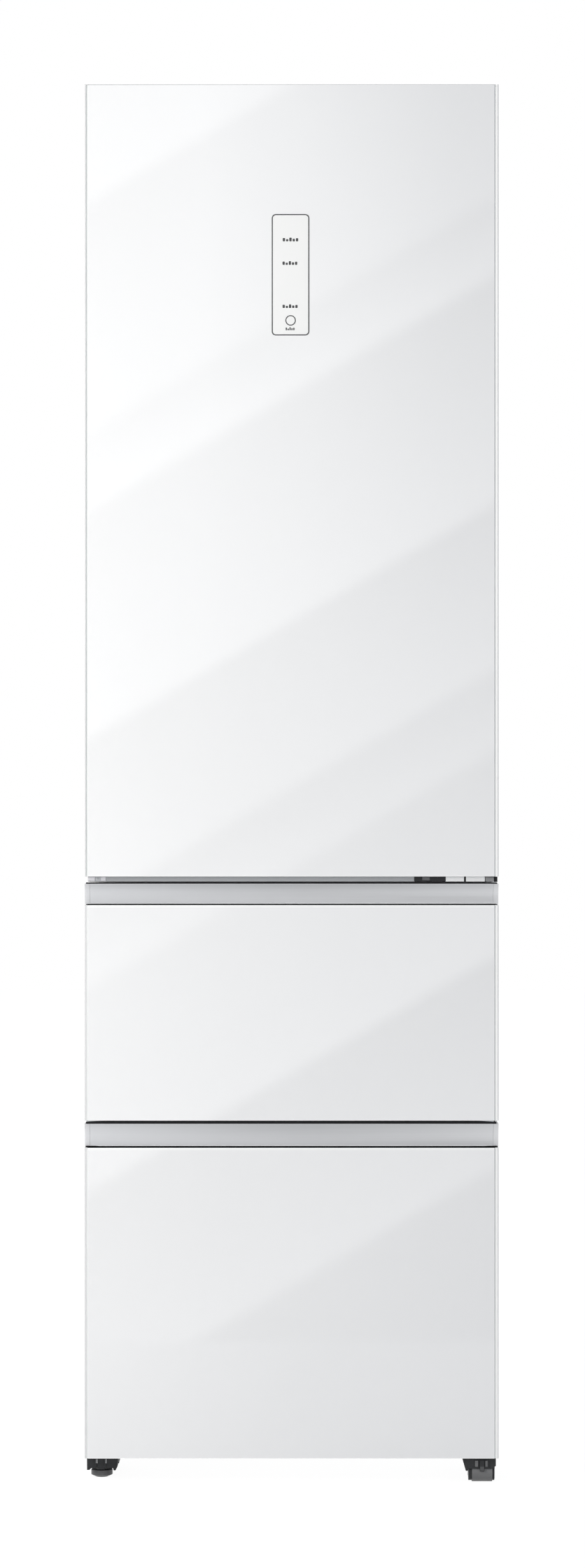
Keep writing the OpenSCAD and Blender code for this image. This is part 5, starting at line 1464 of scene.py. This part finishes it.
@dataclass
class FridgeInside:
    """Fridge liner, air duct, shelves, crisper and chill drawer."""

    body: str = "cabinet"
    wall: float = 1.5
    corner: float = 10.0
    half_w: float = 255.5
    back: float = 271.0
    floor: float = 904.7
    roof: float = 1945.0
    levels: Strip = (1108.0, 1205.0, 1430.0, 1690.0)
    ledge: Triple = (8.0, 247.0, 6.0)
    nose_hw: float = 247.0
    nose_h: float = 13.0
    nose_d: float = 9.0
    nose_drop: float = 5.0
    pane_t: float = 4.0
    lip: Flat = (7.0, 14.0)
    lens_hw: float = 6.6
    lens_z: Flat = (1234.0, 1876.0)
    pull_d: float = 12.0
    pull_h: float = 9.0
    pull_t: float = 3.0
    pull_inset: float = 14.0
    rib_inset: float = 70.0

    def build(self) -> None:
        """Makes the fridge's inner pieces."""
        self.liner()
        self.tower()
        self.shelves()
        self.pull_out("crisper", 0.0)
        self.pull_out("chill_drawer", 10.0)

    def liner(self) -> None:
        """The one-piece liner with rounded corners, front flange and shelf ledges."""
        lo, hi = span("fridge_liner")
        form = Form.tub((-self.half_w, lo.y, self.floor), (self.half_w, self.back, self.roof), Mouth.FRONT, -self.wall,
                        self.corner)
        form.add(Form.ring(lo, (hi.x, lo.y + 2.0, hi.z), hi.x - self.half_w).soften(0.3, 2))
        front = span("glass_shelves")[0].y
        ledge_w, ledge_back, ledge_t = self.ledge
        for z in self.levels:
            form.add(Form().block((self.half_w - ledge_w, front, z - ledge_t), (self.half_w + 0.8, ledge_back, z),
                                  1.8, 3).mirrored())
        form.finished("fridge_liner", LINER)

    def tower(self) -> None:
        """The air duct with its outlets and the lens of the light strip."""
        lo, hi = span("air_tower")
        form = Form.copy_of("air_tower").soften(6.0, 4, axis=Axis.Z,
                                               where=lambda at: abs(at.x) > hi.x - 0.05 and at.y < lo.y + 4)
        form.soften(0.5, 2, 50).finished("air_tower", WHITE_PLASTIC)
        low, high = self.lens_z
        lens = Form.slab((-self.lens_hw, lo.y - 0.6, low), (self.lens_hw, lo.y + 4.0, high))
        lens.soften(2.6, 4, axis=Axis.Z).soften(0.6, 2).settle("light_strip_lens", MILKY_LENS, self.body, "air_tower")

    def shelves(self) -> None:
        """Glass plates with their front noses and rear lips."""
        lo, hi = span("glass_shelves")
        lip_w, lip_h = self.lip
        trims, panes = Form(), Form()
        for z in self.levels:
            panes.block((lo.x, lo.y + 4, z), (hi.x, hi.y - 1, z + self.pane_t), 0.8)
            base = z - self.nose_drop
            nose = Form.slab((-self.nose_hw, lo.y, base), (self.nose_hw, lo.y + self.nose_d, base + self.nose_h))
            trims.add(nose.soften(2.6, 4, axis=Axis.X).soften(0.5))
            trims.block((lo.x, hi.y - lip_w, z + 0.3), (hi.x, hi.y, z + lip_h), 2.0, 3, Axis.X)
        panes.settle("shelf_panes", SHELF_GLASS, self.body, "glass_shelves")
        trims.settle("shelf_trims", WHITE_PLASTIC, self.body, "glass_shelves")

    def pull_out(self, node: str, runner: float, ribs: int = 6) -> None:
        """A clear drawer with a hollow pull, floor ribs and, if asked, runners under it.

        Args:
            node: The drawer's node.
            runner: Height of its runners.
            ribs: Number of its floor ribs.
        """
        lo, hi = span(node)
        front, base = lo.y + self.pull_d, lo.z + runner
        form = Form.tub((lo.x, front, base), hi, Mouth.TOP, 2.8, 12.0, draft=1.5).soften(0.6, 2, 50)
        t, drop = self.pull_t, hi.z - self.pull_h
        pull = [(lo.y, drop), (lo.y, hi.z), (front + 1, hi.z), (front + 1, hi.z - t), (lo.y + t, hi.z - t),
                (lo.y + t, drop)]
        form.add(Form.prism(pull, Axis.X, lo.x + self.pull_inset, hi.x - self.pull_inset).soften(1.0, 2))
        form.add(Form.ring((lo.x + 30, front - 0.8, base + 12), (hi.x - 30, front + 1.2, hi.z - 16), 3.0)
                 .soften(0.6, 2))
        for k in range(ribs):
            x = lo.x + self.rib_inset + k * (hi.x - lo.x - 2 * self.rib_inset) / (ribs - 1)
            form.block((x - 1.5, front + 16, base + 2), (x + 1.5, hi.y - 16, base + 5), 0.8)
        if runner:
            form.add(Form().block((hi.x - 6, front + 20, lo.z), (hi.x, hi.y, base + 1), 0.8).mirrored())
        form.finished(node, CLEAR)


@dataclass
class FreezerInside:
    """Freezer liner, evaporator behind its cover, fan and outer rails."""

    wall: float = 1.5
    corner: float = 12.0
    half_w: float = 245.5
    floor: float = 80.0
    step: Flat = (105.0, 295.0)
    back: float = 263.0
    roof: float = 839.7

    def build(self) -> None:
        """Makes the freezer's inner pieces."""
        self.liner()
        keep(("evaporator", EVAPORATOR), ("evaporator_fan", BLACK_PLASTIC))
        round_off(("evaporator_cover", WHITE_PLASTIC, 0.5), ("outer_rails", ZINC, 0.3))

    def liner(self) -> None:
        """The stepped liner over the machine room, with its front flange."""
        lo, hi = span("freezer_liner")
        x, floor, (step_y, step_z), roof, flange = self.half_w, self.floor, self.step, self.roof, lo.y + 2
        outline = [(lo.y, floor), (step_y, floor), (step_y, step_z), (self.back, step_z), (self.back, roof),
                   (lo.y, roof)]
        form = Form.prism(outline, Axis.X, -x, x)
        bmesh.ops.recalc_face_normals(form.bm, faces=form.bm.faces[:])
        bmesh.ops.delete(form.bm, geom=[face for face in form.bm.faces if face.normal.y < -0.9], context="FACES_ONLY")
        form.bevel([edge for edge in form.bm.edges if len(edge.link_faces) == 2], self.corner, 5, False)
        bmesh.ops.solidify(form.bm, geom=form.bm.faces[:], thickness=-self.wall)
        for z0, z1 in ((lo.z, floor), (roof, hi.z)):
            form.block((lo.x, lo.y, z0), (hi.x, flange, z1), 0.3)
        form.add(Form().block((x, lo.y, floor - 0.5), (hi.x, flange, roof + 0.5), 0.3).mirrored())
        form.finished("freezer_liner", LINER)


@dataclass
class MachineRoom:
    """Compressor, condenser, fan and tray behind their slotted cover."""

    kept: tuple[tuple[str, Finish], ...] = (("compressor", COMPRESSOR), ("condenser", BLACK_STEEL),
                                            ("fan_frame", BLACK_PLASTIC), ("condenser_fan", BLACK_PLASTIC))
    rounded: tuple[tuple[str, Finish, float], ...] = (("drip_tray", BLACK_PLASTIC, 0.6),
                                                      ("machine_cover", BLACK_STEEL, 0.4),
                                                      ("mains_inlet", BLACK_PLASTIC, 0.5))

    def build(self) -> None:
        """Makes the machine room's pieces."""
        keep(*self.kept)
        round_off(*self.rounded)


@dataclass
class RunningGear:
    """Levelling foot, front roller in its fork, and rear rollers."""

    rib_t: float = 0.5
    foot_ribs: tuple[Strip, ...] = ((-283.3, -280.1, 23.3, 29.5), (-269.6, -267.1, 23.3, 29.5))
    tongue: tuple[Strip, ...] = ((270.9, 276.9, 17.6, 24.0),)
    fork_ribs: tuple[Strip, ...] = ((263.4, 268.2, 23.6, 32.6), (278.4, 282.0, 23.6, 32.4))

    def build(self) -> None:
        """Makes the pieces that the appliance stands on."""
        round_off(("foot_bracket", BRACKET, 0.5), ("roller_fork", BRACKET, 0.5), ("levelling_foot", FOOT, 0.4))
        round_off(("front_roller", ROLLER, 0.8), steps=3)
        round_off(("rear_rollers", ROLLER, 0.6))
        self.ribs("foot_bracket", "ribs", self.foot_ribs, RIB_PAINTED_HIGHLIGHT)
        self.ribs("roller_fork", "ribs", self.fork_ribs, FORK_RIB)
        self.ribs("roller_fork", "tongue", self.tongue, TONGUE)

    def ribs(self, node: str, name: str, ribs: Iterable[Strip], finish: Finish) -> None:
        """Painted highlights on the ribs of a bracket's front: pale faces standing for the light that the ribs catch.

        Args:
            node: The bracket's node.
            name: What the new piece is called after the node.
            ribs: Left, right, low and high edge of each rib.
            finish: Their finish.
        """
        front = span(node)[0].y
        form = Form()
        for x0, x1, z0, z1 in ribs:
            form.block((x0, front - 0.02, z0), (x1, front + self.rib_t, z1), 0.3)
        form.settle(f"{node}_{name}", finish, body_of(node))


# Studio


@dataclass
class Studio:
    """Pale floor, soft light, two reflection cards and the camera."""

    floor_hw: float = 14.0
    floor_glow: float = 1.07
    floor_share: float = 0.9
    floor_tone: Triple = (0.86, 0.86, 0.86)
    eye: Triple = (0.00126, -6.336, 1.0051)
    lens: float = 95.92
    sensor: float = 36.0
    view_end: float = 100.0
    aim: Triple = (0.0, 0.0, 1.0)
    fill: float = 0.475
    fill_tint: Triple = (0.955, 0.985, 1.035)
    key_tint: Triple = (1.0, 0.983, 0.93)
    key_power: float = 41.5
    key_at: Triple = (-1.75, -1.75, 1.6)
    key_size: Flat = (1.2, 1.8)
    back_power: float = 26.0
    back_at: Triple = (2.4, 2.6, 2.2)
    back_size: Flat = (2.0, 2.0)
    card_y: float = -1.836
    card_z: Flat = (-0.2, 2.3)
    card_w: float = 2.2
    band_slope: Triple = (-0.5, 0.0, 0.866)
    band_range: Flat = (-0.5, 2.6)
    band_edges: tuple[float, ...] = (0.091, 0.421, 0.739, 0.865, 1.124, 1.479, 1.60, 1.958)
    band_depth: tuple[float, ...] = (0.8, 1.0, 0.6, 0.7, 1.0, 1.0, 0.5, 0.8)
    band_soft: float = 0.004
    band_glow: float = 0.8
    side_glow: tuple[Flat, ...] = ((-0.75, 0.7), (-0.1, 0.0), (0.3, 0.0), (0.8, 0.25))
    top_glow: tuple[Flat, ...] = ((-0.42, 0.0), (-0.16, 2.0), (0.02, 1.7), (0.3, 0.3))
    top_from: Flat = (0.95, 2.2)
    low_card_lo: Flat = (-1.6, -2.6)
    low_card_hi: Flat = (1.6, -0.42)
    low_card_z: float = 0.004
    low_card_glow: tuple[Flat, ...] = ((-0.9, 2.2), (-0.35, 1.35), (0.0, 0.8), (0.3, 1.1), (0.8, 1.8))

    def build(self) -> None:
        """Sets the studio up."""
        bpy.context.scene.view_settings.view_transform = "Standard"
        self.world()
        self.floor()
        self.card()
        self.low_card()
        self.lamp("key", self.key_at, self.key_size, self.key_power, self.key_tint)
        self.lamp("back_fill", self.back_at, self.back_size, self.back_power, WHITE)
        self.camera()

    def seen(self, graph: Graph) -> Socket:
        """One for camera, mirror and through-glass rays, nought for the light that falls on the object.

        Args:
            graph: The graph to draw in.

        Returns:
            The mask.
        """
        path = graph.add("LightPath").outputs
        first = graph.math("MAXIMUM", path["Is Camera Ray"], path["Is Glossy Ray"])
        return graph.math("MAXIMUM", first, path["Is Transmission Ray"])

    def world(self) -> None:
        """A white surround that lights the object gently."""
        world = bpy.data.worlds.new("studio")
        bpy.context.scene.world = world
        world.use_nodes = True
        graph = Graph(world.node_tree)
        seen = self.seen(graph)
        glow = graph.add("Background", {"Color": graph.blend(seen, self.fill_tint, WHITE),
                                        "Strength": graph.remap(seen, 0.0, 1.0, self.fill, 1.0)})
        graph.add("OutputWorld", {0: glow.outputs[0]})

    def floor(self) -> None:
        """A pale floor that keeps a faint shadow of the object."""
        material, graph = self.blank("pale_floor")
        matt = graph.add("BsdfDiffuse", {"Color": self.floor_tone})
        glow = graph.add("Emission", {"Color": WHITE, "Strength": self.floor_glow})
        share = graph.math("MULTIPLY", self.seen(graph), self.floor_share)
        mixed = graph.add("MixShader", {0: share, 1: matt.outputs[0], 2: glow.outputs[0]})
        graph.add("OutputMaterial", {0: mixed.outputs[0]})
        self.sheet("studio_floor", Matrix.Scale(2 * self.floor_hw, 4), material)

    def card(self) -> None:
        """A white card before the front, seen only in reflections, whose slanting bands lie on the glass."""
        low, high = self.card_z
        place = (Matrix.Translation((0.0, self.card_y, (low + high) / 2)) @ Matrix.Rotation(math.pi / 2, 4, "X")
                 @ Matrix.Diagonal((self.card_w, high - low, 1.0, 1.0)))
        self.mirror_card("banded_card", place, self.banded)

    def banded(self, graph: Graph, place: Socket) -> Value:
        """The card's strength: slanting bands, brighter to the left and at the top.

        Args:
            graph: The card's graph.
            place: Its object coordinates.

        Returns:
            The strength.
        """
        across = graph.add("VectorMath", {0: place, 1: self.band_slope}, operation="DOT_PRODUCT").outputs["Value"]
        low, high = self.band_range
        ramp = graph.add("ValToRGB", {0: graph.remap(across, low, high, 0.0, 1.0)})
        stops = ramp.color_ramp.elements
        for stop in stops:
            stop.color = (0.5, 0.5, 0.5, 1.0)
        for edge, depth in zip(self.band_edges, self.band_depth):
            at = (edge - low) / (high - low)
            for side in (-1, 1):
                stop = stops.new(at + side * self.band_soft)
                stop.color = (0.5 + side * depth / 2,) * 3 + (1.0,)
        tone = graph.add("SeparateColor", {0: ramp.outputs[0]}).outputs[0]
        swing = graph.math("MULTIPLY_ADD", tone, self.band_glow * 2, 1.0 - self.band_glow)
        swing = graph.math("ADD", swing, self.profile(graph, place, self.side_glow))
        high_up = graph.remap(graph.part(place, Axis.Z), *self.top_from, 0.0, 1.0)
        return graph.math("MULTIPLY_ADD", self.profile(graph, place, self.top_glow), high_up, swing)

    def low_card(self) -> None:
        """A card on the floor before the front, seen only in the hollow grips, brighter to both sides."""
        (x0, y0), (x1, y1) = self.low_card_lo, self.low_card_hi
        place = (Matrix.Translation(((x0 + x1) / 2, (y0 + y1) / 2, self.low_card_z))
                 @ Matrix.Diagonal((x1 - x0, y1 - y0, 1.0, 1.0)))
        self.mirror_card("low_card", place, lambda graph, at: self.profile(graph, at, self.low_card_glow))

    def profile(self, graph: Graph, place: Value, points: Sequence[Flat]) -> Value:
        """A strength that changes from left to right.

        Args:
            graph: The card's graph.
            place: Its object coordinates.
            points: Pairs of distance to the right and strength there.

        Returns:
            The strength.
        """
        side = graph.part(place, Axis.X)
        strength: Value = points[0][1]
        for (low, start), (high, end) in zip(points, points[1:]):
            strength = graph.math("ADD", strength, graph.remap(side, low, high, 0.0, end - start))
        return strength

    def mirror_card(self, name: str, place: Matrix, glow: Callable[[Graph, Socket], Value]) -> None:
        """Adds a card that only reflections show.

        Args:
            name: Its name.
            place: Where its unit square goes.
            glow: Draws its strength from its graph and object coordinates.
        """
        material, graph = self.blank(name)
        strength = glow(graph, graph.add("TexCoord").outputs["Object"])
        light = graph.add("Emission", {"Color": WHITE, "Strength": strength})
        graph.add("OutputMaterial", {0: light.outputs[0]})
        card = self.sheet(name, place, material)
        for kind in ("camera", "diffuse", "transmission", "shadow", "volume_scatter"):
            setattr(card, f"visible_{kind}", False)

    def blank(self, name: str) -> tuple[bpy.types.Material, Graph]:
        """A new material and its empty graph.

        Args:
            name: The material's name.

        Returns:
            Both.
        """
        material = bpy.data.materials.new(name)
        material.use_nodes = True
        return material, Graph(material.node_tree)

    def sheet(self, name: str, place: Matrix, material: bpy.types.Material) -> bpy.types.Object:
        """Puts a flat square of the studio in the scene.

        Args:
            name: Its name.
            place: Where its unit square goes.
            material: Its material.

        Returns:
            The new object.
        """
        bm = bmesh.new()
        bmesh.ops.create_grid(bm, x_segments=1, y_segments=1, size=0.5, matrix=place)
        mesh = bpy.data.meshes.new(name)
        bm.to_mesh(mesh)
        bm.free()
        mesh.materials.append(material)
        made = bpy.data.objects.new(name, mesh)
        bpy.context.scene.collection.objects.link(made)
        return made

    def lamp(self, name: str, at: Corner, size: Flat, power: float, tint: Triple) -> None:
        """Adds a soft rectangular lamp turned to the object's middle.

        Args:
            name: Its name.
            at: Where it hangs.
            size: Its width and height.
            power: Its power in watts.
            tint: Its colour.
        """
        light = bpy.data.lights.new(name, "AREA")
        light.shape = "RECTANGLE"
        light.size, light.size_y = size
        light.energy = power
        light.color = tint
        made = bpy.data.objects.new(name, light)
        made.location = at
        made.rotation_euler = (Vector(self.aim) - Vector(at)).to_track_quat("-Z", "Y").to_euler()
        made.visible_glossy = False
        bpy.context.scene.collection.objects.link(made)

    def camera(self) -> None:
        """The photograph's view: level, straight on, from six metres."""
        data = bpy.data.cameras.new("photo_view")
        data.lens, data.sensor_width, data.clip_end = self.lens, self.sensor, self.view_end
        made = bpy.data.objects.new("photo_view", data)
        made.location = self.eye
        made.rotation_euler = (math.pi / 2, 0.0, 0.0)
        bpy.context.scene.collection.objects.link(made)
        bpy.context.scene.camera = made


def main() -> None:
    """Builds every sub-assembly in order."""
    logging.basicConfig(level=logging.INFO, format="%(name)s: %(message)s")
    middle, bottom = ("mid", "middle_drawer"), ("low", "bottom_drawer")
    builders = [
        Studio(), DoorFront("door", "door"), TouchPanel(), DoorFoot(), DoorInside(),
        GlassFront(*middle), GripBand(*middle),
        DrawerInside(*middle, end_wedges=((-294.0, -271.0, 1.6), (290.4, 268.0, 1.9))),
        GlassFront(*bottom), GripBand(*bottom, insert_h=1.2, shade_up=2.6, shade_x=(-295.7, 294.4)),
        DrawerInside(*bottom), Cabinet(), FridgeInside(), FreezerInside(), MachineRoom(), RunningGear()]
    for builder in builders:
        log.info("%s", type(builder).__name__)
        builder.build()


if __name__ == "__main__":
    main()
